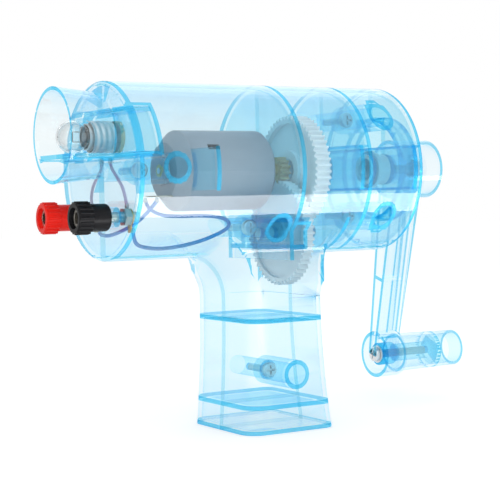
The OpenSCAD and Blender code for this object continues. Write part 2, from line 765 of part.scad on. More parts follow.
module motor_shaft() {
    color(steel) in_barrel() bar(motor_x - plate_t - slide_gap, pinion_end_x, motor_shaft_r);
}

module armature_core() {
    color([0.5, 0.5, 0.52]) in_barrel() difference() {
        union() {
            bar(armature_x, armature_x + armature_len, armature_r * 0.42);
            intersection() {
                bar(armature_x, armature_x + armature_len, armature_r);
                for (k = [0 : 2]) rotate([k * 120, 0, 0]) union() {
                    block([armature_x, -armature_r * 0.16, 0],
                        [armature_x + armature_len, armature_r * 0.16, armature_r]);
                    block([armature_x, -armature_r * 0.75, armature_r * 0.72],
                        [armature_x + armature_len, armature_r * 0.75, armature_r]);
                }
            }
        }
        bar(armature_x - over, armature_x + armature_len + over, motor_shaft_r + fit / 2);
    }
}

module armature_windings() {
    overhang = can_t * 2;
    color(copper) in_barrel() for (k = [0 : 2]) rotate([k * 120, 0, 0]) difference() {
        block([armature_x - overhang, -armature_r * 0.4, armature_r * 0.46],
            [armature_x + armature_len + overhang, armature_r * 0.4, armature_r * 0.68]);
        block([armature_x - fit, -armature_r * 0.16 - fit, 0],
            [armature_x + armature_len + fit, armature_r * 0.16 + fit, armature_r]);
    }
}

module commutator() {
    color(copper) in_barrel() difference() {
        bar(commutator_x, commutator_x + commutator_len, commutator_r);
        bar(commutator_x - over, commutator_x + commutator_len + over, motor_shaft_r + fit / 2);
        for (k = [0 : 2]) rotate([60 + k * 120, 0, 0])
            block([commutator_x - over, -fit * 3, commutator_r * 0.8],
                [commutator_x + commutator_len + over, fit * 3, commutator_r + over]);
    }
}

// Gears

// The involute's turn in degrees at the angle a between its radius and its flank.
function involute(a) = (tan(a) - a * PI / 180) * 180 / PI;

// Half the angle that a tooth spans at radius r.
function half_tooth(r, teeth, base_r, pitch_r) =
    90 / teeth - tooth_play / pitch_r * 90 / PI + involute(pressure_angle) - involute(acos(min(base_r / r, 1)));

// The outline of a gear: for each tooth the root, the flank up, the tip and the flank down.
function gear_points(teeth) =
    let (pitch_r = gear_module * teeth / 2, base_r = pitch_r * cos(pressure_angle),
        root_r = pitch_r - gear_module * dedendum_share, tip_r = pitch_r + gear_module * addendum_share,
        low_r = max(base_r, root_r + gear_module * 0.1),
        radii = [root_r, low_r, pitch_r, tip_r],
        angles = [for (r = radii) half_tooth(max(r, low_r), teeth, base_r, pitch_r)])
    [for (k = [0 : teeth - 1], i = [-4 : 3])
        let (j = i < 0 ? i + 4 : 3 - i, side = i < 0 ? -1 : 1, a = k * 360 / teeth + side * angles[j])
        radii[j] * [cos(a), sin(a)]];

module gear_outline(teeth, phase) {
    rotate(phase) polygon(gear_points(teeth));
}

module motor_pinion() {
    color(brass) in_barrel() difference() {
        union() {
            yz(idler_gear_x, pinion_end_x) gear_outline(motor_pinion_teeth, -90 + 180 / motor_pinion_teeth);
            bar(motor_end_x + plate_t + rotor_gap, idler_gear_x + fuse, motor_shaft_r * 2);
        }
        bar(motor_end_x, pinion_end_x + over, motor_shaft_r + fit / 2);
    }
}

module idler_pinion() {
    color(milky) in_barrel() translate([0, 0, -centre_drop]) union() {
        bar(bulkhead1_x, idler_rear_x, idler_journal_r);
        yz(crank_gear_x - slide_gap, idler_hub_end_x) gear_outline(idler_pinion_teeth, 90 + 180 / idler_pinion_teeth);
        bar(idler_gear_x - slide_gap, crank_gear_x, idler_journal_r * 1.35);
    }
}

// A toothed wheel with a thin web, a rim and round lightening holes.
module wheel(x0, x1, teeth, phase, bore_r, hub_r_out, web_t) {
    root_r = gear_module * (teeth / 2 - dedendum_share);
    rim_r = root_r - gear_module * 2;
    mid_x = (x0 + x1) / 2;
    difference() {
        yz(x0, x1) gear_outline(teeth, phase);
        tube(x0 - over, mid_x - web_t / 2, rim_r, hub_r_out);
        tube(mid_x + web_t / 2, x1 + over, rim_r, hub_r_out);
        bar(x0 - over, x1 + over, bore_r);
    }
}

module idler_gear() {
    color(milky) in_barrel() translate([0, 0, -centre_drop])
        wheel(idler_gear_x, idler_gear_x + idler_gear_w, idler_gear_teeth, 90, idler_journal_r * 1.35 + fit / 2,
            idler_journal_r * 2.4, idler_gear_w * 0.45);
}

module crank_gear() {
    color(milky) in_barrel() difference() {
        union() {
            wheel(crank_gear_x, crank_gear_x + crank_gear_w, crank_gear_teeth, -90, crank_shaft_r / 2,
                crank_gear_hub_r, crank_gear_web_t);
            bar(crank_gear_x + crank_gear_w - fuse, crank_gear_hub_end_x, crank_gear_hub_r);
        }
        bar(crank_gear_x - over, crank_gear_hub_end_x + over, crank_shaft_r + fit / 2);
    }
}

module crank_shaft() {
    color(milky) in_barrel() at_rest_angle() difference() {
        bar(crank_shaft_x, hub_web_x - fit, crank_shaft_r);
        bar(hub_web_x - crank_screw_len, hub_end_x, crank_screw_r + fit / 2);
        block([hub_x + fit, -crank_shaft_r, crank_shaft_r * 0.75], [hub_end_x, crank_shaft_r, crank_shaft_r * 2]);
    }
}

// Crank

// Puts a piece that is drawn with the arm straight down into the crank's rest position.
module at_rest_angle() {
    rotate([crank_angle, 0, 0]) children();
}

// The arm's body seen from the side, from front_x to rear_x at the hub and at the foot.
module arm_side(front_top, front_foot, rear_top, rear_foot, half_w) {
    translate([0, half_w, 0]) rotate([90, 0, 0]) linear_extrude(2 * half_w)
        polygon([[front_top, 0], [rear_top, 0], [rear_foot, -crank_radius], [front_foot, -crank_radius]]);
}

// The arm's body seen from the front, narrowing from the hub to the foot.
module arm_face(inset) {
    yz(hub_x - over, hub_end_x + over) polygon([
        [-arm_top_half_w + inset, 0], [arm_top_half_w - inset, 0],
        [arm_foot_half_w - inset, -crank_radius], [-arm_foot_half_w + inset, -crank_radius]]);
}

module crank_arm() {
    foot_rear_x = hub_end_x;
    color(clear_blue) in_barrel() at_rest_angle() difference() {
        union() {
            difference() {
                intersection() {
                    arm_side(arm_front_x, foot_front_x, arm_rear_top_x, foot_rear_x, hub_r);
                    arm_face(0);
                }
                intersection() {
                    arm_side(arm_front_x - over, foot_front_x - over, arm_rear_top_x - arm_t,
                        foot_rear_x - arm_t, hub_r);
                    arm_face(arm_t);
                }
            }
            intersection() {
                arm_side(arm_rear_top_x - mid_rib_h, foot_rear_x - mid_rib_h, arm_rear_top_x, foot_rear_x,
                    arm_t * 0.4);
                block([hub_x, -hub_r, -crank_radius], [hub_end_x, hub_r, -hub_r / 2]);
            }
            intersection() {
                arm_side(arm_front_x, foot_front_x, arm_rear_top_x, foot_rear_x, hub_r);
                arm_face(0);
                block([hub_x, -hub_r, cross_rib_z - arm_t / 2], [hub_end_x, hub_r, cross_rib_z + arm_t / 2]);
            }
            bar(hub_x, hub_end_x, hub_r);
            translate([0, 0, -crank_radius]) bar(boss_x, hub_end_x, boss_r);
        }
        tube(hub_x - over, hub_web_x, hub_r - arm_t, hub_socket_r);
        bar(hub_web_x + hub_web_t, hub_end_x + over, hub_r - arm_t);
        difference() {
            bar(hub_x - over, hub_web_x, crank_shaft_r + fit);
            block([hub_x - over * 2, -hub_r, crank_shaft_r * 0.75 + fit], [hub_web_x + over, hub_r, hub_r]);
        }
        bar(hub_web_x - over, hub_end_x, crank_screw_r + fit * 2);
        translate([0, 0, -crank_radius]) {
            tube(boss_x - over, boss_floor_x, boss_r - arm_t, boss_tube_r);
            bar(boss_x - over, boss_tube_x, boss_r - arm_t);
            bar(boss_x, hub_end_x + over, handle_screw_r + run);
        }
    }
}

// A pan-head screw that goes in along the given X direction, with its head's seat at x.
module axis_screw(x, dir, r, len, head_r, head_h) {
    translate([x, 0, 0]) rotate([0, 0, dir > 0 ? -90 : 90]) pan_screw(r, len, head_r, head_h);
}

module crank_screw() {
    color(steel) in_barrel() at_rest_angle() axis_screw(hub_web_x + hub_web_t + fit, -1, crank_screw_r,
        crank_screw_len + hub_web_t - over, crank_screw_head_r, crank_screw_head_h);
}

// Puts a piece that is drawn on the barrel's axis onto the handle's axis.
module at_handle() {
    at_rest_angle() translate([0, 0, -crank_radius]) children();
}

module handle_grip() {
    wall_end = handle_end_r - handle_wall;
    wall_root = handle_root_r - handle_wall;
    mid_share = (partition_x - handle_x) / handle_len;
    mid_r = wall_root + (wall_end - wall_root) * mid_share;
    color(clear_blue) in_barrel() at_handle() difference() {
        union() {
            lathe() polygon([[wall_root, handle_x], [handle_root_r, handle_x], [handle_end_r, handle_end_x],
                [wall_end, handle_end_x], [mid_r, partition_x]]);
            bar(partition_x, partition_x + partition_t, mid_r + handle_wall / 2);
            bar(handle_x, partition_x + fuse, stem_r);
        }
        bar(handle_x - over, partition_x - handle_wall, handle_screw_r + fit / 2);
    }
}

module handle_screw() {
    color(steel) in_barrel() at_handle() axis_screw(handle_screw_x, 1, handle_screw_r,
        partition_x - handle_wall * 2 - handle_screw_x, handle_screw_head_r, handle_screw_head_h);
}

module handle_washer() {
    color(steel) in_barrel() at_handle()
        tube(handle_screw_x + fit, boss_tube_x - fit, handle_washer_r, handle_screw_r + fit);
}

// Lamp

module lamp_socket() {
    color(brass) in_barrel() translate([0, 0, lamp_z])
        tube(bulb_base_x + slide_gap * 2, socket_base_x - fit, socket_sleeve_r, bulb_base_r + run);
}

module lamp_socket_base() {
    color([0.78, 0.7, 0.5]) in_barrel() translate([0, 0, lamp_z])
        tube(socket_base_x, socket_base_x + socket_base_t, socket_base_r, bulb_tip_h);
}

module lamp_contact() {
    color(brass) in_barrel() translate([0, 0, lamp_z])
        bar(bulb_base_end_x + bulb_tip_h + fit, socket_base_x + socket_base_t, bulb_tip_h - fit);
}

module bulb_glass() {
    shell = can_t / 2;
    color([0.95, 0.97, 0.98, 0.35]) in_barrel() translate([0, 0, lamp_z]) lathe() difference() {
        union() {
            translate([0, globe_x]) circle(globe_r);
            translate([0, globe_x]) square([bulb_neck_r, bulb_base_x - globe_x + bulb_base_len / 3]);
        }
        translate([0, globe_x]) circle(globe_r - shell);
        translate([-shell, globe_x]) square([bulb_neck_r, bulb_base_x - globe_x + bulb_base_len]);
        translate([-globe_r * 2, globe_x - globe_r * 2]) square([globe_r * 2, globe_r * 6]);
    }
}

module bulb_base() {
    color([0.8, 0.8, 0.78]) in_barrel() translate([0, 0, lamp_z]) difference() {
        bar(bulb_base_x, bulb_base_end_x, bulb_base_r);
        bar(bulb_base_x - over, bulb_base_end_x - can_t, bulb_neck_r + fit);
        bar(bulb_base_x - over, bulb_base_end_x + over, bulb_tip_h * 1.5);
    }
}

module bulb_contact() {
    color([0.2, 0.2, 0.22]) in_barrel() translate([0, 0, lamp_z]) {
        bar(bulb_base_end_x - can_t, bulb_base_end_x + fit, bulb_tip_h * 1.5 - fit / 2);
        bar(bulb_base_end_x, bulb_base_end_x + bulb_tip_h, bulb_tip_h);
    }
}

// The glass bead, its two support wires and the filament across them.
module bulb_filament() {
    wire = can_t * 0.16;
    spread = globe_r * 0.3;
    bead_x = globe_x + globe_r * 0.75;
    color(steel) in_barrel() translate([0, 0, lamp_z]) {
        bar(bead_x, bead_x + can_t * 1.5, spread + wire * 2);
        for (side = [-1, 1]) translate([0, 0, side * spread])
            bar(globe_x, bulb_base_end_x - can_t - fit, wire);
        translate([globe_x, 0, -spread]) cylinder(r = wire, h = spread * 2);
    }
}

// Binding posts

// Puts a piece that is drawn on the barrel's axis onto one post's axis; side is -1 for black and 1 for red.
module at_post(side) {
    translate([0, side * post_y, -post_drop]) children();
}

module post_cap() {
    mid_x = cap_x + cap_rib_len;
    rib_r = cap_rib_r * PI / cap_ribs / 2;
    difference() {
        union() {
            round_edged_bar(cap_x, mid_x, cap_rib_r - rib_r, rib_r, 0);
            round_edged_bar(mid_x - fuse, -collar_len - fit * 2, cap_body_r, 0, cap_body_r * 0.2);
            for (k = [0 : cap_ribs - 1]) rotate([k * 360 / cap_ribs, 0, 0])
                translate([0, 0, cap_rib_r - rib_r]) bar(cap_x + rib_r, mid_x, rib_r);
        }
        bar(cap_x - over, stud_front_x + fit, socket_r * 1.75);
        bar(cap_x, 0, stud_r + run);
    }
}

module red_cap() {
    color([0.9, 0.12, 0.1]) in_barrel() at_post(1) post_cap();
}

module black_cap() {
    color([0.1, 0.1, 0.1]) in_barrel() at_post(-1) post_cap();
}

module post_stud() {
    difference() {
        union() {
            bar(stud_front_x + fit, -collar_len - fit, stud_r);
            bar(-collar_len - fuse, stud_end_x, stud_shank_r);
        }
        bar(stud_front_x - over, -collar_len - fit - socket_r, socket_r);
    }
}

module red_stud() {
    color(brass) in_barrel() at_post(1) post_stud();
}

module black_stud() {
    color(brass) in_barrel() at_post(-1) post_stud();
}

module post_collars() {
    color(clear_blue) in_barrel() for (side = [-1, 1]) at_post(side)
        tube(-collar_len, -fit, collar_r, stud_shank_r + fit / 2);
}

module post_nuts() {
    color(brass) in_barrel() for (side = [-1, 1]) at_post(side) difference() {
        yz(nut_x, nut_x + nut_h) circle(nut_r, $fn = 6);
        bar(0, lug_x + over, stud_shank_r + fit / 2);
    }
}

// A ring tag with a tail that hangs down to its lead.
module solder_lugs() {
    color(brass) in_barrel() for (side = [-1, 1]) at_post(side) difference() {
        union() {
            bar(lug_x, lug_x + lug_t, lug_r);
            block([lug_x, -lug_r * 0.4, -lug_tail], [lug_x + lug_t, lug_r * 0.4, 0]);
        }
        bar(0, stud_end_x + over, stud_shank_r + fit / 2);
    }
}

// Leads

function unit(v) = v / norm(v);

// A point on the smooth curve through p[i] and p[i + 1].
function curve_point(p, i, t) =
    let (a = p[max(i - 1, 0)], b = p[i], c = p[i + 1], d = p[min(i + 2, len(p) - 1)])
    b + t * (c - a) / 2 + t * t * (a - b * 2.5 + c * 2 - d / 2) + t * t * t * (b * 1.5 - a / 2 - c * 1.5 + d / 2);

// Turns shares of the barrel into a route in its frame.
function on_barrel(shares) = [for (p = shares)
    [end_wall + p[0] * barrel_len, p[1] * barrel_r, p[2] * barrel_r]];

function smooth_route(p) = concat(
    [for (i = [0 : len(p) - 2], s = [0 : lead_steps - 1]) curve_point(p, i, s / lead_steps)], [p[len(p) - 1]]);

// A tube of lead_sides sides along a route.
module lead(points, r) {
    route = smooth_route(points);
    n = len(route);
    heading = [for (i = [0 : n - 1]) unit(route[min(i + 1, n - 1)] - route[max(i - 1, 0)])];
    across = [for (h = heading) unit(cross(h, [0.2, 0.3, 0.9]))];
    rings = [for (i = [0 : n - 1], k = [0 : lead_sides - 1])
        let (a = k * 360 / lead_sides) route[i] + r * (across[i] * cos(a) + cross(heading[i], across[i]) * sin(a))];
    sides = [for (i = [0 : n - 2], k = [0 : lead_sides - 1])
        let (a = i * lead_sides + k, b = i * lead_sides + (k + 1) % lead_sides)
        each [[a, b, a + lead_sides], [b, b + lead_sides, a + lead_sides]]];
    caps = [[for (k = [lead_sides - 1 : -1 : 0]) k],
        [for (k = [0 : lead_sides - 1]) (n - 1) * lead_sides + k]];
    polyhedron(rings, concat(sides, caps));
}

module black_lead() {
    color([0.15, 0.4, 0.8]) in_barrel() lead(on_barrel(BLACK_LEAD_SHARES), lead_r);
}

module red_lead() {
    color([0.15, 0.4, 0.8]) in_barrel() lead(on_barrel(RED_LEAD_SHARES), lead_r);
}

module lamp_red_lead() {
    color([0.6, 0.3, 0.6]) in_barrel() lead(on_barrel(LAMP_RED_LEAD_SHARES), lead_r * 0.8);
}

module lamp_black_lead() {
    color([0.6, 0.3, 0.6]) in_barrel() lead(on_barrel(LAMP_BLACK_LEAD_SHARES), lead_r * 0.8);
}

near_shell();
far_shell();
housing_screws();
crank_bush_front();
crank_bush_rear();
motor_can();
motor_end_cap();
motor_bushes();
motor_magnets();
motor_brushes();
motor_terminals();
motor_shaft();
motor_pinion();
armature_core();
armature_windings();
commutator();
idler_pinion();
idler_gear();
crank_gear();
crank_shaft();
crank_arm();
crank_screw();
handle_grip();
handle_screw();
handle_washer();
lamp_socket();
lamp_socket_base();
lamp_contact();
bulb_glass();
bulb_base();
bulb_contact();
bulb_filament();
red_cap();
black_cap();
red_stud();
black_stud();
post_collars();
post_nuts();
solder_lugs();
black_lead();
red_lead();
lamp_red_lead();
lamp_black_lead();
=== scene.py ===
"""Dresses the hand crank generator: clear housing, geared motor, crank, lamp and binding posts."""

import json
import math

import bpy
import numpy as np
from bpy.props import FloatProperty, FloatVectorProperty, IntProperty, PointerProperty
from mathutils import Matrix, Vector
from mathutils.bvhtree import BVHTree


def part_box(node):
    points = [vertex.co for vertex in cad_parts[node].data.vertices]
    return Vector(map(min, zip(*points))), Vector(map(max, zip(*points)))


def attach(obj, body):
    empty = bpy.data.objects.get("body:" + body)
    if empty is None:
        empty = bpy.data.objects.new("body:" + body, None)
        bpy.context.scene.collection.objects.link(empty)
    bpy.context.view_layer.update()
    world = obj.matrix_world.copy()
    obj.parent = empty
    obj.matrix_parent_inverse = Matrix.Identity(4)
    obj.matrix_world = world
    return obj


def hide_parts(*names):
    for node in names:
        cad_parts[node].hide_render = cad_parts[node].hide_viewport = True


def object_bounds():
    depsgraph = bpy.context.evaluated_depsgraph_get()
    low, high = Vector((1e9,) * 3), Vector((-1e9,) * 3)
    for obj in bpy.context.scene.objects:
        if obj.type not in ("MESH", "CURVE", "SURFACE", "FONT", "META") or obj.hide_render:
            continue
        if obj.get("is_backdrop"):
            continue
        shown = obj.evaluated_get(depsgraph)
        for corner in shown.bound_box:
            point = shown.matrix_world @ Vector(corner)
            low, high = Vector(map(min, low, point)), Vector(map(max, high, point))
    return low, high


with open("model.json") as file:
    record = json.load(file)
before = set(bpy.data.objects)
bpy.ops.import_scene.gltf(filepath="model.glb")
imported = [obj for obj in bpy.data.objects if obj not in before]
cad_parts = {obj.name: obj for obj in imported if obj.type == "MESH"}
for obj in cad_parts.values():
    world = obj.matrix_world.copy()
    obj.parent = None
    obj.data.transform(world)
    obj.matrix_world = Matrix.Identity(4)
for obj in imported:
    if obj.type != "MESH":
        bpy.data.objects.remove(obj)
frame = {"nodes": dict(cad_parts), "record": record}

bl_info = {
    "name": "Hand crank generator",
    "version": (1, 0, 0),
    "blender": (4, 5, 0),
    "location": "3D View > Sidebar > Generator",
    "description": "Builds the detailed pieces and finishes of a see-through hand crank generator",
    "category": "Object",
}

MM = 0.001
NODE_BODY = {
    node: body
    for body, nodes in frame["record"]["behaviour"]["bodies"].items()
    for node in nodes
}

# Modelling, lengths in metres and angles in degrees
MERGE = 0.000002  # corners closer than this are made one
CUT = 0.000001  # a corner this near to a cutting plane lies on it
HAIR = 0.00001  # how far under a face its thickness is measured from
SHARP = 32  # edges sharper than this are rounded and keep their crease
FLAT = 0.4  # faces that differ by less than this are made one
SIDEWAYS = 0.2  # a face with more than this of its normal along Y looks sideways
SQUARE = 0.9  # a face with more than this of its normal along an axis is square to it

# The kinds of faces of a clear piece, and the finish of each
WALL, PLATE, EDGE, RIB = range(4)
CLEAR_FINISHES = ("clear", "clear_plate", "clear_edge", "clear_rib")
THICK = 2.3 * MM  # a face with more plastic than this behind it is an edge

WHITE = (1, 1, 1, 1)
SEEING_RAYS = ("Is Camera Ray", "Is Glossy Ray", "Is Transmission Ray")
WAVE_REACH = 0.314  # one band of a Wave texture at scale 1


# Places, taken from the frame


def middle(node):
    """The middle of a node's box."""
    low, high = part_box(node)
    return (low + high) / 2


def loose_parts(node):
    """The points of each separate solid of a node."""
    mesh = frame["nodes"][node].data
    group = list(range(len(mesh.vertices)))

    def root(i):
        while group[i] != i:
            group[i] = group[group[i]]
            i = group[i]
        return i

    places = {}
    for vertex in mesh.vertices:
        key = tuple(round(value * 1e6) for value in vertex.co)
        group[root(vertex.index)] = root(places.setdefault(key, vertex.index))
    for edge in mesh.edges:
        group[root(edge.vertices[0])] = root(edge.vertices[1])
    parts = {}
    for vertex in mesh.vertices:
        parts.setdefault(root(vertex.index), []).append(vertex.co)
    return list(parts.values())


def middle_of(points):
    """The middle of the box round some points."""
    return Vector([(min(p[i] for p in points) + max(p[i] for p in points)) / 2 for i in range(3)])


def radius(node):
    """Half the width of a round node that lies along X."""
    low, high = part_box(node)
    return (high.y - low.y) / 2


# Shader maths


class Value:
    """A shader socket with arithmetic on it: an expression on values adds its Math nodes."""

    def __init__(self, tree, socket):
        self.tree = tree
        self.socket = socket

    def math(self, operation, *terms):
        node = self.tree.nodes.new("ShaderNodeMath")
        node.operation = operation
        for slot, term in zip(node.inputs, terms):
            if isinstance(term, Value):
                self.tree.links.new(term.socket, slot)
            else:
                slot.default_value = term
        return Value(self.tree, node.outputs[0])

    def __add__(self, other):
        return self.math("ADD", self, other)

    __radd__ = __add__

    def __mul__(self, other):
        return self.math("MULTIPLY", self, other)

    __rmul__ = __mul__

    def __sub__(self, other):
        return self.math("SUBTRACT", self, other)

    def __rsub__(self, other):
        return self.math("SUBTRACT", other, self)

    def highest(self, other):
        return self.math("MAXIMUM", self, other)


class Tree:
    """A node tree, with the one method that adds nodes to it."""

    def __init__(self, tree):
        self.tree = tree

    def node(self, kind, settings=None, inputs=None, output=0):
        """Adds a node: first its settings, then the values or links of its sockets."""
        node = self.tree.nodes.new(kind)
        for key, setting in (settings or {}).items():
            setattr(node, key, setting)
        for key, source in (inputs or {}).items():
            if isinstance(source, Value):
                self.tree.links.new(source.socket, node.inputs[key])
            else:
                node.inputs[key].default_value = source
        return Value(self.tree, node.outputs[output]) if len(node.outputs) else None

    def looked_at(self):
        """1 for a ray that looks, straight, in a reflection or through plastic, else 0."""
        rays = [self.node("ShaderNodeLightPath", output=name) for name in SEEING_RAYS]
        return rays[0].highest(rays[1]).highest(rays[2])


class Finish(Tree):
    """One procedural material, with its Object coordinates."""

    def __init__(self, name):
        self.material = bpy.data.materials.new(name)
        self.material.use_nodes = True
        super().__init__(self.material.node_tree)
        self.tree.nodes.clear()
        self.place = self.node("ShaderNodeTexCoord", output="Object")

    def stretched(self, scale):
        """Object coordinates, scaled along each axis."""
        return self.node("ShaderNodeMapping", inputs={"Vector": self.place, "Scale": scale})

    def grain(self, scale, detail=2.0, rough=0.5, where=None):
        """Noise between 0 and 1."""
        place = where or self.place
        return self.node(
            "ShaderNodeTexNoise",
            inputs={"Vector": place, "Scale": scale, "Detail": detail, "Roughness": rough},
        )

    def glance(self, blend):
        """0 on a face seen straight on, and up to 1 on one seen at a glance."""
        return self.node("ShaderNodeLayerWeight", inputs={"Blend": blend}, output="Facing")

    def blend(self, share, first, second):
        """Mixes two colours by a share, on the Mix node's colour sockets."""
        return self.node(
            "ShaderNodeMix", {"data_type": "RGBA"}, {0: share, 6: first, 7: second}, output=2
        )

    def bump(self, height, depth):
        """A bumped normal from a height between 0 and 1."""
        return self.node(
            "ShaderNodeBump", inputs={"Height": height, "Distance": depth, "Strength": 1.0}
        )

    def ended(self, shader):
        """The material, its tree ended in a shader."""
        self.node("ShaderNodeOutputMaterial", inputs={"Surface": shader})
        return self.material

    def surface(self, **inputs):
        """The material, its tree ended in a Principled surface."""
        named = {key.replace("_", " "): source for key, source in inputs.items()}
        return self.ended(self.node("ShaderNodeBsdfPrincipled", inputs=named))


# Finishes


def colour(rgb):
    """A colour with full cover."""
    return (rgb[0], rgb[1], rgb[2], 1.0)


def clear_plastic(name, tint, rim, frost, through=1.0, coat=1.0):
    """Clear plastic: tint is what a face lets through, and rim what is left of it at a glance.

    The share through passes straight, and the rest is scattered.
    """
    finish = Finish(name)
    flow = finish.grain(90, 1.0)
    return finish.surface(
        Base_Color=finish.blend(finish.glance(0.16), colour(tint), colour(rim)),
        Roughness=frost + flow * 0.03,
        IOR=1.004,
        Transmission_Weight=through,
        Coat_Weight=coat,
        Coat_IOR=1.5,
        Coat_Roughness=0.03,
        Normal=finish.bump(finish.grain(60, 1.0), 0.00002),
    )


def milky_plastic(tint):
    """Unpigmented gear plastic: waxy and half see-through."""
    finish = Finish("milky_plastic")
    cloud = finish.grain(220, 3.0)
    return finish.surface(
        Base_Color=finish.blend(cloud, colour(tint), (0.80, 0.87, 0.93, 1)),
        Roughness=0.35 + cloud * 0.12,
        IOR=1.47,
        Transmission_Weight=0.12,
        Subsurface_Weight=0.3,
        Subsurface_Radius=(0.001, 0.001, 0.001),
        Normal=finish.bump(cloud, 0.00002),
    )


def solid_plastic(name, rgb, rough, gloss=0.5):
    """Pigmented plastic with a fine moulded grain and lighter rubbed spots."""
    finish = Finish(name)
    grain = finish.grain(900, 3.0)
    wear = finish.grain(160, 2.0)
    worn = tuple(min(1.0, channel * 1.25 + 0.01) for channel in rgb)
    return finish.surface(
        Base_Color=finish.blend(wear * 0.6, colour(rgb), colour(worn)),
        Roughness=rough + wear * 0.12,
        Specular_IOR_Level=gloss,
        Normal=finish.bump(grain, 0.00003),
    )


def bare_metal(name, rgb, dull, rough, brush=None):
    """Metal with a duller film over part of it; brush scales its grain along X, Y and Z."""
    finish = Finish(name)
    film = finish.grain(120, 4.0, 0.6)
    where = finish.stretched(brush) if brush else finish.place
    lines = finish.grain(1.0 if brush else 1400, 3.0, 0.6, where)
    return finish.surface(
        Base_Color=finish.blend(film, colour(rgb), colour(dull)),
        Metallic=1.0,
        Roughness=rough + lines * 0.15,
        Normal=finish.bump(lines, 0.00001),
    )


def banded(name, rgb, gap_rgb, reach, metallic, rough):
    """Fine bands across X, as of wire or stacked sheets, darker in their gaps; reach is one radian
    of their wave.
    """
    finish = Finish(name)
    scale = 1 / reach / math.tau * WAVE_REACH
    bands = finish.node(
        "ShaderNodeTexWave",
        {"wave_type": "BANDS", "bands_direction": "X"},
        {"Vector": finish.place, "Scale": scale, "Distortion": 0.3, "Detail": 1.0},
        output="Fac",
    )
    # the gap colour is painted shade between the turns of a winding, and the dark joints between
    # stacked sheets
    return finish.surface(
        Base_Color=finish.blend(bands, colour(gap_rgb), colour(rgb)),
        Metallic=metallic,
        Roughness=rough + (1 - bands) * 0.2,
        Normal=finish.bump(bands, 0.00008),
    )


def lamp_glass():
    """Thin clear glass with a little haze."""
    finish = Finish("lamp_glass")
    return finish.surface(
        Base_Color=finish.blend(finish.glance(0.3), (0.97, 0.98, 0.98, 1), (0.30, 0.33, 0.35, 1)),
        Roughness=0.01 + finish.grain(200, 2.0) * 0.03,
        IOR=1.5,
        Transmission_Weight=1.0,
        Normal=finish.bump(finish.grain(120, 1.0), 0.00002),
    )


def board():
    """Fibre board, tan with darker fibres."""
    finish = Finish("fibre_board")
    fibres = finish.grain(1.0, 4.0, 0.6, finish.stretched((300, 2400, 600)))
    return finish.surface(
        Base_Color=finish.blend(fibres, (0.52, 0.40, 0.20, 1), (0.78, 0.68, 0.44, 1)),
        Roughness=0.6 + fibres * 0.15,
        Normal=finish.bump(fibres, 0.00004),
    )


FINISHES = {}


def make_finishes(context):
    """Makes all the materials of the object, once."""
    if FINISHES:
        return
    tints = context.scene.generator_plastic
    rim = tints.edge_tint
    FINISHES.update(
        clear=clear_plastic("clear_wall", tints.wall_tint, rim, 0.01),
        clear_plate=clear_plastic("clear_plate", tints.plate_tint, rim, 0.08, 0.9, 0.2),
        clear_edge=clear_plastic("clear_edge", rim, rim, 0.08, 0.8, 0.2),
        clear_rib=clear_plastic("clear_rib", tints.rib_tint, rim, 0.05, 1.0, 0.1),
        milky=milky_plastic(tints.milky_tint),
        red=solid_plastic("red_plastic", (0.84, 0.016, 0.008), 0.26, 0.12),
        black=solid_plastic("black_plastic", (0.005, 0.005, 0.006), 0.22, 0.08),
        dark=solid_plastic("motor_cap_plastic", (0.26, 0.30, 0.35), 0.5, 0.3),
        blue_lead=solid_plastic("blue_insulation", (0.010, 0.20, 0.52), 0.35),
        violet_lead=solid_plastic("violet_insulation", (0.36, 0.26, 0.46), 0.35),
        can=bare_metal(
            "motor_can_steel", (0.40, 0.47, 0.54), (0.32, 0.38, 0.45), 0.6, (60, 2400, 2400)
        ),
        screw=bare_metal("nickel_screw", (0.80, 0.81, 0.82), (0.66, 0.67, 0.68), 0.28),
        shaft=bare_metal(
            "ground_steel", (0.56, 0.57, 0.58), (0.45, 0.46, 0.48), 0.18, (1800, 60, 60)
        ),
        brass=bare_metal("brass", (0.72, 0.50, 0.20), (0.50, 0.32, 0.13), 0.25),
        shell=bare_metal("nickel_shell", (0.72, 0.74, 0.75), (0.58, 0.60, 0.62), 0.5),
        tin=bare_metal("nickel_brass", (0.66, 0.64, 0.58), (0.48, 0.45, 0.40), 0.22),
        solder=bare_metal("solder", (0.62, 0.63, 0.64), (0.40, 0.41, 0.43), 0.3),
        copper=bare_metal("copper", (0.72, 0.32, 0.17), (0.46, 0.20, 0.11), 0.3),
        filament=bare_metal("tungsten", (0.30, 0.30, 0.31), (0.2, 0.2, 0.21), 0.35),
        # the winding's dark gap colour is painted shade between its turns of wire
        winding=banded(
            "enamelled_wire", (0.62, 0.20, 0.07), (0.12, 0.03, 0.012), 0.0003, 0.85, 0.25
        ),
        core=banded("core_sheets", (0.34, 0.34, 0.36), (0.10, 0.10, 0.11), 0.0005, 0.9, 0.4),
        magnet=solid_plastic("ferrite", (0.035, 0.035, 0.038), 0.6, 0.3),
        glass=lamp_glass(),
        board=board(),
    )


# Modelling


def deselect():
    """Leaves nothing selected."""
    for item in bpy.context.selected_objects:
        item.select_set(False)


def pick(piece):
    """Makes one piece the only selected and active one."""
    deselect()
    piece.select_set(True)
    bpy.context.view_layer.objects.active = piece


class EditMode:
    """Edit mode on one piece, with all of it selected, or with the selection that it has."""

    def __init__(self, piece, everything=True):
        self.piece = piece
        self.everything = everything

    def __enter__(self):
        pick(self.piece)
        bpy.ops.object.mode_set(mode="EDIT")
        if self.everything:
            bpy.ops.mesh.select_all(action="SELECT")

    def __exit__(self, *error):
        bpy.ops.object.mode_set(mode="OBJECT")


def close_up():
    """In edit mode: makes one of the corners that touch, and turns the faces outwards."""
    bpy.ops.mesh.select_all(action="SELECT")
    bpy.ops.mesh.remove_doubles(threshold=MERGE)
    bpy.ops.mesh.normals_make_consistent(inside=False)


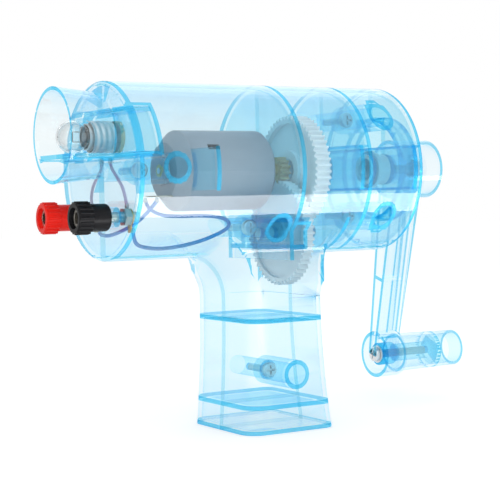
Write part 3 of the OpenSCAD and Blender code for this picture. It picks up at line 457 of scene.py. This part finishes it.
def own(piece, name, finish, body, nodes=()):
    """Names a finished piece, gives it its material and ties it to its body.

    It stands for the nodes, which it hides.
    """
    piece.name = name
    piece.data.name = name
    piece.data.materials.clear()
    piece.data.materials.append(FINISHES[finish])
    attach(piece, body)
    if nodes:
        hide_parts(*nodes)
    return piece


def apply(piece, kind, **settings):
    """Adds a modifier and applies it."""
    modifier = piece.modifiers.new(kind.lower(), kind)
    for key, setting in settings.items():
        setattr(modifier, key, setting)
    pick(piece)
    bpy.ops.object.modifier_apply(modifier=modifier.name)


def smooth(piece, degrees):
    """Smooth shading between faces that differ by less than some degrees."""
    pick(piece)
    bpy.ops.object.shade_smooth_by_angle(angle=math.radians(degrees))


def copied(node):
    """A copy of a node with its loose triangles joined."""
    copy = bpy.data.objects.new(node, frame["nodes"][node].data.copy())
    bpy.context.scene.collection.objects.link(copy)
    with EditMode(copy):
        bpy.ops.mesh.remove_doubles(threshold=MERGE)
    return copy


def softened(piece, edge, segments, sharp, flat):
    """Joins a piece's triangles into clean faces and rounds its edges by edge millimetres."""
    with EditMode(piece):
        bpy.ops.mesh.dissolve_limited(angle_limit=math.radians(flat), delimit={"MATERIAL"})
    if edge:
        apply(
            piece, "BEVEL", width=edge * MM, segments=segments, limit_method="ANGLE",
            angle_limit=math.radians(sharp), use_clamp_overlap=True, harden_normals=False,
        )
    smooth(piece, sharp)
    apply(piece, "WEIGHTED_NORMAL", keep_sharp=True, weight=80)


def refined(node, finish, edge=0.15, segments=2, sharp=SHARP, flat=FLAT):
    """A cleaner copy of a node, with rounded edges, that takes the node's place."""
    copy = copied(node)
    softened(copy, edge, segments, sharp, flat)
    return own(copy, node + "_piece", finish, NODE_BODY[node], [node])


def scored(piece, axis, least):
    """Cuts a piece along the planes of its flat faces across an axis.

    A plane counts where its faces come to more than least square millimetres. Places on the axis
    are rounded to a fiftieth of a millimetre.
    """
    rounding = 0.02
    areas = {}
    for face in piece.data.polygons:
        if abs(face.normal[axis]) > 0.999:
            place = round(face.center[axis] / (rounding * MM)) * rounding * MM
            areas[place] = areas.get(place, 0) + face.area
    normal = [0, 0, 0]
    normal[axis] = 1
    with EditMode(piece):
        for place in sorted(place for place, area in areas.items() if area > least * MM * MM):
            point = [part * place for part in normal]
            bpy.ops.mesh.select_all(action="SELECT")
            bpy.ops.mesh.bisect(plane_co=point, plane_no=normal, threshold=CUT)


def choose_round(piece, centre, reach):
    """Selects only the faces that look along Y within reach of a line parallel to Y."""
    mesh = piece.data
    count = len(mesh.polygons)
    places, normals = np.empty(count * 3), np.empty(count * 3)
    mesh.polygons.foreach_get("center", places)
    mesh.polygons.foreach_get("normal", normals)
    places, normals = places.reshape(-1, 3), normals.reshape(-1, 3)
    away = np.hypot(places[:, 0] - centre.x, places[:, 2] - centre.z)
    mesh.vertices.foreach_set("select", np.zeros(len(mesh.vertices), dtype=bool))
    mesh.edges.foreach_set("select", np.zeros(len(mesh.edges), dtype=bool))
    mesh.polygons.foreach_set("select", (away < reach) & (np.abs(normals[:, 1]) > SIDEWAYS))


def ringed(piece, centre, r, sides=16):
    """Cuts the faces round a line parallel to Y along a circle about it."""
    for k in range(sides):
        turn = math.tau * (k + 0.5) / sides
        out = Vector((math.cos(turn), 0, math.sin(turn)))
        choose_round(piece, centre, r * 3)
        with EditMode(piece, everything=False):
            bpy.ops.mesh.bisect(plane_co=centre + out * r, plane_no=out, threshold=CUT)


def moulded(node, edge, sort=None, segments=2, sharp=SHARP, tubes=(), tube_r=0.0):
    """A clear piece, its faces sorted into walls, plates, edges and ribs.

    A face is an edge where the plastic behind it is thick, and a wall elsewhere. sort may overrule
    that: it takes a face's place, its normal and the kind found so far. The faces round each tube's
    axis are cut along a circle of radius tube_r first.
    """
    copy = copied(node)
    if tubes:
        scored(copy, 0, 20)
        scored(copy, 2, 8)
    for centre in tubes:
        ringed(copy, centre, tube_r)
    copy.data.materials.clear()
    for finish in CLEAR_FINISHES:
        copy.data.materials.append(FINISHES[finish])
    mesh = copy.data
    tree = BVHTree.FromPolygons(
        [vertex.co for vertex in mesh.vertices], [face.vertices[:] for face in mesh.polygons]
    )
    for face in mesh.polygons:
        inward = -face.normal
        thickness = tree.ray_cast(face.center + inward * HAIR, inward)[3]
        kind = EDGE if thickness is None or thickness > THICK else WALL
        face.material_index = sort(face.center, face.normal, kind) if sort else kind
    softened(copy, edge, segments, sharp, FLAT)
    copy.name = node + "_piece"
    copy.data.name = copy.name
    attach(copy, NODE_BODY[node])
    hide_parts(node)
    return copy


def profile_object(name, points):
    """An open line: one corner of a plane, drawn out from point to point."""
    deselect()
    bpy.ops.mesh.primitive_plane_add(size=MM, location=(0, 0, 0))
    line = bpy.context.view_layer.objects.active
    line.name = name
    line.data.name = name
    with EditMode(line):
        bpy.ops.mesh.merge(type="CENTER")
        bpy.ops.transform.translate(value=points[0])
        for last, point in zip(points, points[1:]):
            step = tuple(Vector(point) - Vector(last))
            bpy.ops.mesh.extrude_vertices_move(TRANSFORM_OT_translate={"value": step})
    return line


def spun(name, profile, x_axis, steps=48):
    """Turns a profile of (x, radius) pairs round the line parallel to X through x_axis."""
    centre = Vector((0, x_axis.y, x_axis.z))
    line = profile_object(name, [(x, centre.y, centre.z + r) for x, r in profile])
    with EditMode(line):
        bpy.ops.mesh.spin(
            steps=steps, angle=math.tau, center=centre, axis=(1, 0, 0), use_auto_merge=True
        )
        close_up()
    return line


def threaded(name, x0, x1, r, turns, depth, x_axis, steps=40, count=8):
    """A rolled thread from x0 to x1: one wave of count steps, turned and advanced round x_axis."""
    pitch = (x1 - x0) / (turns + 1)
    wave = [
        (x0 + pitch * i / count, 0, r - depth / 2 + depth / 2 * math.cos(math.tau * i / count))
        for i in range(count + 1)
    ]
    line = profile_object(name, wave)
    apply(
        line, "SCREW", axis="X", angle=math.tau, screw_offset=pitch, iterations=turns,
        steps=steps, render_steps=steps, use_merge_vertices=True, merge_threshold=MERGE * 2,
        use_smooth_shade=True,
    )
    with EditMode(line):
        close_up()
        bpy.ops.transform.translate(value=(0, x_axis.y, x_axis.z))
    return line


def joined(pieces, name):
    """Joins pieces into one."""
    deselect()
    for piece in pieces:
        piece.select_set(True)
    bpy.context.view_layer.objects.active = pieces[0]
    bpy.ops.object.join()
    pieces[0].name = name
    return pieces[0]


def smooth_route(points, steps=6):
    """Points along a smooth curve through the given ones, with some steps from each to the next."""
    route = []
    for i in range(len(points) - 1):
        a, b, c, d = (points[max(0, min(k, len(points) - 1))] for k in (i - 1, i, i + 1, i + 2))
        for s in range(steps):
            t = s / steps
            route.append(
                b + (c - a) * (t / 2) + (a - b * 2.5 + c * 2 - d / 2) * t ** 2
                + (b * 1.5 - a / 2 - c * 1.5 + d / 2) * t ** 3
            )
    return route + [points[-1]]


def wire(name, points, r):
    """A round wire along a route, as a mesh."""
    curve = bpy.data.curves.new(name, "CURVE")
    curve.dimensions = "3D"
    curve.bevel_depth = r
    curve.bevel_resolution = 3
    curve.use_fill_caps = True
    spline = curve.splines.new("POLY")
    route = smooth_route(points)
    spline.points.add(len(route) - 1)
    for point, place in zip(spline.points, route):
        point.co = (*place, 1)
    item = bpy.data.objects.new(name, curve)
    bpy.context.scene.collection.objects.link(item)
    pick(item)
    bpy.ops.object.convert(target="MESH")
    item = bpy.context.view_layer.objects.active
    smooth(item, 50)
    return item


def solder_drop(size, squash):
    """A drop of solder: a ball flattened on its tag and drawn out towards its wire."""
    deselect()
    bpy.ops.mesh.primitive_ico_sphere_add(subdivisions=3, radius=size, location=(0, 0, 0))
    drop = bpy.context.view_layer.objects.active
    with EditMode(drop):
        bpy.ops.transform.resize(value=squash, center_override=(0, 0, 0))
        bpy.ops.mesh.select_all(action="DESELECT")
    for vertex in drop.data.vertices:
        vertex.select = vertex.co.z > size * 0.5
    with EditMode(drop, everything=False):
        bpy.ops.transform.translate(value=(0, 0, size * 0.35))
    smooth(drop, 60)
    return drop


def copied_to(piece, place):
    """A copy of a piece with its own mesh, moved to a place."""
    copy = piece.copy()
    copy.data = piece.data.copy()
    copy.data.transform(Matrix.Translation(place))
    bpy.context.scene.collection.objects.link(copy)
    return copy


# Settings


class PlasticSettings(bpy.types.PropertyGroup):
    wall_tint: FloatVectorProperty(
        name="Wall tint", description="Colour that one outer wall lets through",
        subtype="COLOR", size=3, min=0, max=1, default=(0.92, 0.98, 0.99),
    )
    plate_tint: FloatVectorProperty(
        name="Plate tint", description="Colour that a plate across the inside lets through",
        subtype="COLOR", size=3, min=0, max=1, default=(0.67, 0.95, 0.995),
    )
    rib_tint: FloatVectorProperty(
        name="Rib tint", description="Colour that a shelf or screw tube inside lets through",
        subtype="COLOR", size=3, min=0, max=1, default=(0.72, 0.955, 0.995),
    )
    edge_tint: FloatVectorProperty(
        name="Edge tint", description="Colour of the plastic seen along a wall, as at a rim",
        subtype="COLOR", size=3, min=0, max=1, default=(0.08, 0.61, 0.95),
    )
    milky_tint: FloatVectorProperty(
        name="Gear plastic", description="Colour of the milky gears and bushes",
        subtype="COLOR", size=3, min=0, max=1, default=(0.90, 0.95, 0.98),
    )
    edge: FloatProperty(
        name="Edge radius", description="Rounding of the moulded edges, in millimetres",
        min=0, max=1, default=0.15,
    )


class LampSettings(bpy.types.PropertyGroup):
    thread_turns: IntProperty(
        name="Thread turns", description="Turns of the rolled thread on the bulb's base",
        min=2, max=8, default=4,
    )
    thread_depth: FloatProperty(
        name="Thread depth", description="Depth of the rolled thread",
        unit="LENGTH", min=0, max=0.001, default=0.00028,
    )


class StageSettings(bpy.types.PropertyGroup):
    key_power: FloatProperty(
        name="Key light", description="Power of the soft light above and in front, in watts",
        min=0, max=50, default=1.3,
    )
    low_power: FloatProperty(
        name="Low light", description="Power of the soft light low in front, in watts",
        min=0, max=50, default=0.17,
    )
    sky: FloatProperty(
        name="Surround", description="Strength of the even light from all round",
        min=0, max=2, default=0.7,
    )


# Pieces


class PieceOperator:
    """What the operators share."""

    bl_options = {"REGISTER", "UNDO"}


class GENERATOR_OT_housing(PieceOperator, bpy.types.Operator):
    """The two clear halves of the housing"""

    bl_idname = "generator.housing"
    bl_label = "Housing"

    def execute(self, context):
        make_finishes(context)
        barrel = middle("crank_shaft")
        screws = [middle_of(points) for points in loose_parts("housing_screws")]
        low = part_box("near_shell")[0]
        outside = -low.y
        inside = outside - 1.8 * MM  # the barrel's inner wall
        skin = inside * 0.9
        seam = 0.2 * MM
        mouth_r, side_r, back_r = 5 * MM, 5.3 * MM, 6 * MM  # round a screw tube's axis
        motor_bay = low.x + 18.5 * MM  # starts here, past the lamp and the posts
        grip_floor = low.z + 3 * MM
        neck = low.z + 40 * MM
        barrel_foot = barrel.z - outside + 1 * MM

        def sort(place, normal, kind):
            away = math.hypot(place.y - barrel.y, place.z - barrel.z)
            tube = min(math.hypot(place.x - s.x, place.z - s.z) for s in screws)
            # flat faces on the seam between the halves
            if abs(normal.y) > 0.99 and abs(place.y) < seam:
                return PLATE
            # the near tubes' mouths, then what looks to the far side there, then the tubes' sides
            if tube < mouth_r and normal.y < -SIDEWAYS and place.y < 0 and away > skin:
                return EDGE
            if tube < back_r and normal.y > SIDEWAYS:
                return WALL
            if tube < side_r and abs(normal.y) < SIDEWAYS:
                return RIB
            # faces of the neck that are square to no axis
            if neck < place.z < barrel_foot and max(map(abs, normal)) < 0.985:
                return WALL
            if kind:
                return kind
            # bulkheads, pockets and shelves in the barrel, then the shelves in the grip
            if away < inside and place.x > motor_bay:
                return PLATE if abs(normal.x) > SQUARE and place.y < 0 else RIB
            shelf = abs(normal.z) > SQUARE and grip_floor < place.z < barrel.z - inside
            return RIB if shelf else WALL

        for node, tube_r in (("near_shell", 5.0), ("far_shell", 3.4)):
            moulded(node, 0, sort, sharp=12, tubes=screws, tube_r=tube_r * MM)
        return {"FINISHED"}


class GENERATOR_OT_bearings(PieceOperator, bpy.types.Operator):
    """The two flanged bushes of the crank shaft"""

    bl_idname = "generator.bearings"
    bl_label = "Crank bushes"

    def execute(self, context):
        make_finishes(context)
        for node in ("crank_bush_front", "crank_bush_rear"):
            refined(node, "milky", 0.15)
        return {"FINISHED"}


class GENERATOR_OT_motor(PieceOperator, bpy.types.Operator):
    """The motor's steel can, end cap, bushes and terminals"""

    bl_idname = "generator.motor"
    bl_label = "Motor case"

    def execute(self, context):
        make_finishes(context)
        refined("motor_can", "can", 0.3, 3)
        refined("motor_end_cap", "dark", 0.3, 3)
        refined("motor_bushes", "brass", 0.1)
        refined("motor_terminals", "tin", 0.08)
        return {"FINISHED"}


class GENERATOR_OT_motor_inside(PieceOperator, bpy.types.Operator):
    """The rotor, the magnets and the brushes"""

    bl_idname = "generator.motor_inside"
    bl_label = "Motor inside"

    def execute(self, context):
        make_finishes(context)
        refined("motor_magnets", "magnet", 0.3)
        refined("motor_brushes", "copper", 0.08)
        refined("motor_shaft", "shaft", 0.15)
        refined("armature_core", "core", 0.1)
        refined("armature_windings", "winding", 0.5)
        refined("commutator", "copper", 0.08)
        return {"FINISHED"}


class GENERATOR_OT_gears(PieceOperator, bpy.types.Operator):
    """The crank gear, the idler and the motor's pinion"""

    bl_idname = "generator.gears"
    bl_label = "Gears"

    def execute(self, context):
        make_finishes(context)
        for node, finish, edge in (
            ("crank_gear", "milky", 0.06), ("idler_gear", "milky", 0.06),
            ("idler_pinion", "milky", 0.06), ("motor_pinion", "brass", 0.05),
        ):
            refined(node, finish, edge, segments=1, sharp=20, flat=0.1)
        return {"FINISHED"}


class GENERATOR_OT_crank(PieceOperator, bpy.types.Operator):
    """The crank's shaft, arm and screw"""

    bl_idname = "generator.crank"
    bl_label = "Crank"

    def execute(self, context):
        make_finishes(context)
        moulded("crank_shaft", 0.2, lambda place, normal, kind: RIB)
        moulded("crank_arm", context.scene.generator_plastic.edge)
        refined("crank_screw", "screw", 0.1)
        return {"FINISHED"}


class GENERATOR_OT_handle(PieceOperator, bpy.types.Operator):
    """The clear handle with its screw and washer"""

    bl_idname = "generator.handle"
    bl_label = "Handle"

    def execute(self, context):
        make_finishes(context)
        axis = middle("handle_screw")
        core_r = 6 * MM

        def sort(place, normal, kind):
            near = math.hypot(place.y - axis.y, place.z - axis.z) < core_r
            return kind or (PLATE if near else WALL)

        moulded("handle_grip", 0.2, sort, segments=3)
        refined("handle_screw", "screw", 0.1)
        refined("handle_washer", "screw", 0.1)
        return {"FINISHED"}


class GENERATOR_OT_screws(PieceOperator, bpy.types.Operator):
    """The five screws that hold the halves together"""

    bl_idname = "generator.screws"
    bl_label = "Housing screws"

    def execute(self, context):
        make_finishes(context)
        refined("housing_screws", "screw", 0.12)
        return {"FINISHED"}


class GENERATOR_OT_lamp(PieceOperator, bpy.types.Operator):
    """The lamp socket and the bulb"""

    bl_idname = "generator.lamp"
    bl_label = "Lamp"

    def execute(self, context):
        make_finishes(context)
        turns = context.scene.generator_lamp.thread_turns
        depth = context.scene.generator_lamp.thread_depth
        refined("bulb_glass", "glass", 0.1)
        refined("bulb_filament", "filament", 0.03, 1)
        refined("bulb_contact", "solder", 0.2, 3)
        refined("lamp_contact", "brass", 0.15)
        refined("lamp_socket_base", "board", 0.1)

        # the bulb's base: a thread between a foot and a collar, whose sizes are shares of its own
        axis = middle("bulb_base")
        low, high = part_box("bulb_base")
        r = radius("bulb_base")
        collar = (high.x - low.x) * 0.2
        first, last = low.x + collar, high.x - collar * 0.6
        ends = [
            (low.x, r * 0.86), (low.x, r * 0.93),
            (first, r * 0.97), (low.x + collar * 1.4, r * 0.9),
        ]
        foot = [
            (high.x - collar, r * 0.9), (high.x - collar * 0.5, r * 0.86),
            (high.x, r * 0.62), (high.x, r * 0.46),
        ]
        base = joined(
            [
                threaded("bulb_shell", first, last, r, turns, depth, axis),
                spun("bulb_ends", ends, axis),
                spun("bulb_foot", foot, axis),
            ],
            "bulb_base",
        )
        smooth(base, 60)
        own(base, "bulb_base_piece", "shell", "housing", ["bulb_base"])

        low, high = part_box("lamp_socket")
        r = radius("lamp_socket")
        sleeve = threaded("socket_shell", low.x, high.x, r, turns, depth, axis)
        apply(sleeve, "SOLIDIFY", thickness=0.18 * MM, offset=-1)
        smooth(sleeve, 60)
        own(sleeve, "lamp_socket_piece", "shell", "housing", ["lamp_socket"])
        return {"FINISHED"}


class GENERATOR_OT_posts(PieceOperator, bpy.types.Operator):
    """The red and black binding posts with their studs, collars, nuts and tags"""

    bl_idname = "generator.posts"
    bl_label = "Binding posts"

    def execute(self, context):
        make_finishes(context)
        refined("red_cap", "red", 0.12)
        refined("black_cap", "black", 0.12)
        for node in ("red_stud", "black_stud", "post_nuts"):
            refined(node, "tin", 0.08)
        refined("solder_lugs", "brass", 0.08)
        moulded("post_collars", 0.15)
        return {"FINISHED"}


# Leads: points along each route, in millimetres from the grip's base

BLACK_LEAD = (
    (-55.8, -13.2, 70.5), (-55.24, -12.6, 68.4), (-53.43, -11.1, 66), (-49.47, -9.6, 64.8),
    (-43.48, -8.4, 64.2), (-35.46, -8.1, 64.8), (-27.44, -7.5, 66.3), (-20.43, -6.9, 68.4),
    (-15.91, -6, 70.5), (-14.89, -4.5, 72.6), (-17.49, -2.4, 74.1), (-23.48, -0.6, 74.7),
    (-30.49, 1.5, 74.7), (-36.93, 2.4, 75.3), (-41, 3.3, 77.4), (-42.24, 4.2, 80.1),
)
RED_LEAD = (
    (-55.8, 13.2, 70.5), (-55.01, 12.6, 69), (-52.86, 10.5, 68.7), (-49.92, 6.9, 70.2),
    (-47.44, 2.1, 72.6), (-45.29, -1.5, 75.6), (-43.6, -3.6, 78.3), (-42.24, -4.2, 80.1),
)
LAMP_RED_LEAD = (
    (-58.65, 3.3, 93.3), (-58.46, 4.5, 90.9), (-58.25, 8.4, 88.2), (-58.15, 12, 84.9),
    (-58.05, 13.5, 81), (-57.65, 13.2, 78.6),
)
LAMP_BLACK_LEAD = (
    (-58.65, -3.3, 93.3), (-58.55, -4.2, 91.2), (-58.35, -7.5, 88.2), (-58.25, -11.1, 84.9),
    (-58.05, -12.9, 81), (-57.65, -12.9, 78.6),
)


class GENERATOR_OT_leads(PieceOperator, bpy.types.Operator):
    """The four insulated leads and the solder at their ends"""

    bl_idname = "generator.leads"
    bl_label = "Leads"

    def execute(self, context):
        make_finishes(context)
        drop = solder_drop(0.9 * MM, (0.8, 0.9, 1.0))
        for node, route, finish, r in (
            ("black_lead", BLACK_LEAD, "blue_lead", 0.65),
            ("red_lead", RED_LEAD, "blue_lead", 0.65),
            ("lamp_red_lead", LAMP_RED_LEAD, "violet_lead", 0.52),
            ("lamp_black_lead", LAMP_BLACK_LEAD, "violet_lead", 0.52),
        ):
            points = [Vector(point) * MM for point in route]
            own(wire(node, points, r * MM), node + "_piece", finish, "housing", [node])
            for end, place in (("start", points[0]), ("end", points[-1])):
                solder = copied_to(drop, place)
                own(solder, f"{node}_{end}_solder", "solder", "housing")
        bpy.data.objects.remove(drop)
        return {"FINISHED"}


# Stage


def floor(side=6, pale=0.82, glow=0.45):
    """A pale floor under the object, lifted towards white where it is looked at."""
    deselect()
    bpy.ops.mesh.primitive_plane_add(size=side, location=(0, 0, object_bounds()[0][2]))
    ground = bpy.context.view_layer.objects.active
    ground.name = "floor"
    finish = Finish("pale_floor")
    matt = finish.node("ShaderNodeBsdfDiffuse", inputs={"Color": (pale, pale, pale, 1)})
    lift = finish.looked_at() * glow
    light = finish.node("ShaderNodeEmission", inputs={"Color": WHITE, "Strength": lift})
    both = finish.node("ShaderNodeAddShader", inputs={0: matt, 1: light})
    ground.data.materials.append(finish.ended(both))
    ground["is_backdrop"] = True


def surround(strength):
    """Even light from all round, which is white where it is looked at."""
    world = bpy.data.worlds.new("studio")
    bpy.context.scene.world = world
    world.use_nodes = True
    studio = Tree(world.node_tree)
    background = world.node_tree.nodes["Background"]
    background.inputs["Color"].default_value = WHITE
    level = studio.looked_at() * (1 - strength) + strength
    world.node_tree.links.new(level.socket, background.inputs["Strength"])


def area_light(name, place, target, size, power, through=True):
    """A soft oblong light that isn't seen itself; through says whether clear plastic shows it."""
    light = bpy.data.lights.new(name, "AREA")
    light.shape = "RECTANGLE"
    light.size, light.size_y = size
    light.energy = power
    lamp = bpy.data.objects.new(name, light)
    lamp.location = place
    lamp.rotation_euler = (Vector(target) - Vector(place)).to_track_quat("-Z", "Y").to_euler()
    lamp.visible_camera = False
    lamp.visible_transmission = through
    bpy.context.scene.collection.objects.link(lamp)


def lights(settings):
    """A key light, a weaker one behind, and a strip under the near side for its pale band."""
    low, high = (Vector(corner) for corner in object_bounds())
    heart = (low + high) / 2
    front = heart + Vector((-0.35, -0.6, 0.55))
    behind = heart + Vector((0.3, 0.6, 0.5))
    beneath = Vector((heart.x + 0.01, low.y - 0.0145, low.z + 0.0615))
    above = beneath + Vector((0, 0, 1))
    area_light("key", front, heart, (0.45, 0.45), settings.key_power)
    area_light("back", behind, heart, (0.6, 0.5), settings.key_power * 0.3)
    area_light("low", beneath, above, (0.28, 0.025), settings.low_power, through=False)


def camera(scene):
    """A long lens to the left of the near side, level with the barrel."""
    eye = Vector((-255.05, -416.0, 78.8)) * MM
    turn, rise, roll = math.radians(-31.37), math.radians(0.41), math.radians(-1.26)
    back = Vector(
        (math.sin(turn) * math.cos(rise), -math.cos(turn) * math.cos(rise), math.sin(rise))
    )
    side = Vector((math.cos(turn), math.sin(turn), 0))
    up = back.cross(side)
    side, up = (
        math.cos(roll) * side + math.sin(roll) * up,
        -math.sin(roll) * side + math.cos(roll) * up,
    )
    lens = bpy.data.cameras.new("view")
    lens.sensor_width = 36
    lens.lens = 98.95
    lens.shift_x = -0.0081
    lens.shift_y = -0.0748
    lens.clip_start = 0.01
    item = bpy.data.objects.new("view", lens)
    item.matrix_world = Matrix.Translation(eye) @ Matrix((side, up, back)).transposed().to_4x4()
    scene.collection.objects.link(item)
    scene.camera = item


class GENERATOR_OT_stage(PieceOperator, bpy.types.Operator):
    """The pale floor, the soft light and the camera"""

    bl_idname = "generator.stage"
    bl_label = "Stage"

    def execute(self, context):
        scene = context.scene
        floor()
        surround(scene.generator_stage.sky)
        lights(scene.generator_stage)
        camera(scene)
        scene.view_settings.view_transform = "Standard"
        # enough bounces for a look through all the clear walls in a row
        for limit in ("max_bounces", "transmission_bounces", "transparent_max_bounces"):
            setattr(scene.cycles, limit, 32)
        return {"FINISHED"}


# Panel and registration


OPERATORS = (
    GENERATOR_OT_housing, GENERATOR_OT_bearings, GENERATOR_OT_motor, GENERATOR_OT_motor_inside,
    GENERATOR_OT_gears, GENERATOR_OT_crank, GENERATOR_OT_handle, GENERATOR_OT_screws,
    GENERATOR_OT_lamp, GENERATOR_OT_posts, GENERATOR_OT_leads, GENERATOR_OT_stage,
)


class GENERATOR_PT_pieces(bpy.types.Panel):
    """Lists the pieces of the generator"""

    bl_idname = "GENERATOR_PT_pieces"
    bl_label = "Hand crank generator"
    bl_space_type = "VIEW_3D"
    bl_region_type = "UI"
    bl_category = "Generator"

    def draw(self, context):
        layout = self.layout
        for group in ("generator_plastic", "generator_lamp", "generator_stage"):
            settings = getattr(context.scene, group)
            for name in settings.__annotations__:
                layout.prop(settings, name)
        for operator in OPERATORS:
            layout.operator(operator.bl_idname)


CLASSES = (PlasticSettings, LampSettings, StageSettings, *OPERATORS, GENERATOR_PT_pieces)


def register():
    for item in CLASSES:
        bpy.utils.register_class(item)
    bpy.types.Scene.generator_plastic = PointerProperty(type=PlasticSettings)
    bpy.types.Scene.generator_lamp = PointerProperty(type=LampSettings)
    bpy.types.Scene.generator_stage = PointerProperty(type=StageSettings)


def unregister():
    del bpy.types.Scene.generator_stage
    del bpy.types.Scene.generator_lamp
    del bpy.types.Scene.generator_plastic
    for item in reversed(CLASSES):
        bpy.utils.unregister_class(item)


def main():
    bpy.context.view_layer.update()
    register()
    bpy.ops.generator.housing()
    bpy.ops.generator.bearings()
    bpy.ops.generator.motor()
    bpy.ops.generator.motor_inside()
    bpy.ops.generator.gears()
    bpy.ops.generator.crank()
    bpy.ops.generator.handle()
    bpy.ops.generator.screws()
    bpy.ops.generator.lamp()
    bpy.ops.generator.posts()
    bpy.ops.generator.leads()
    bpy.ops.generator.stage()


if __name__ == "__main__":
    main()
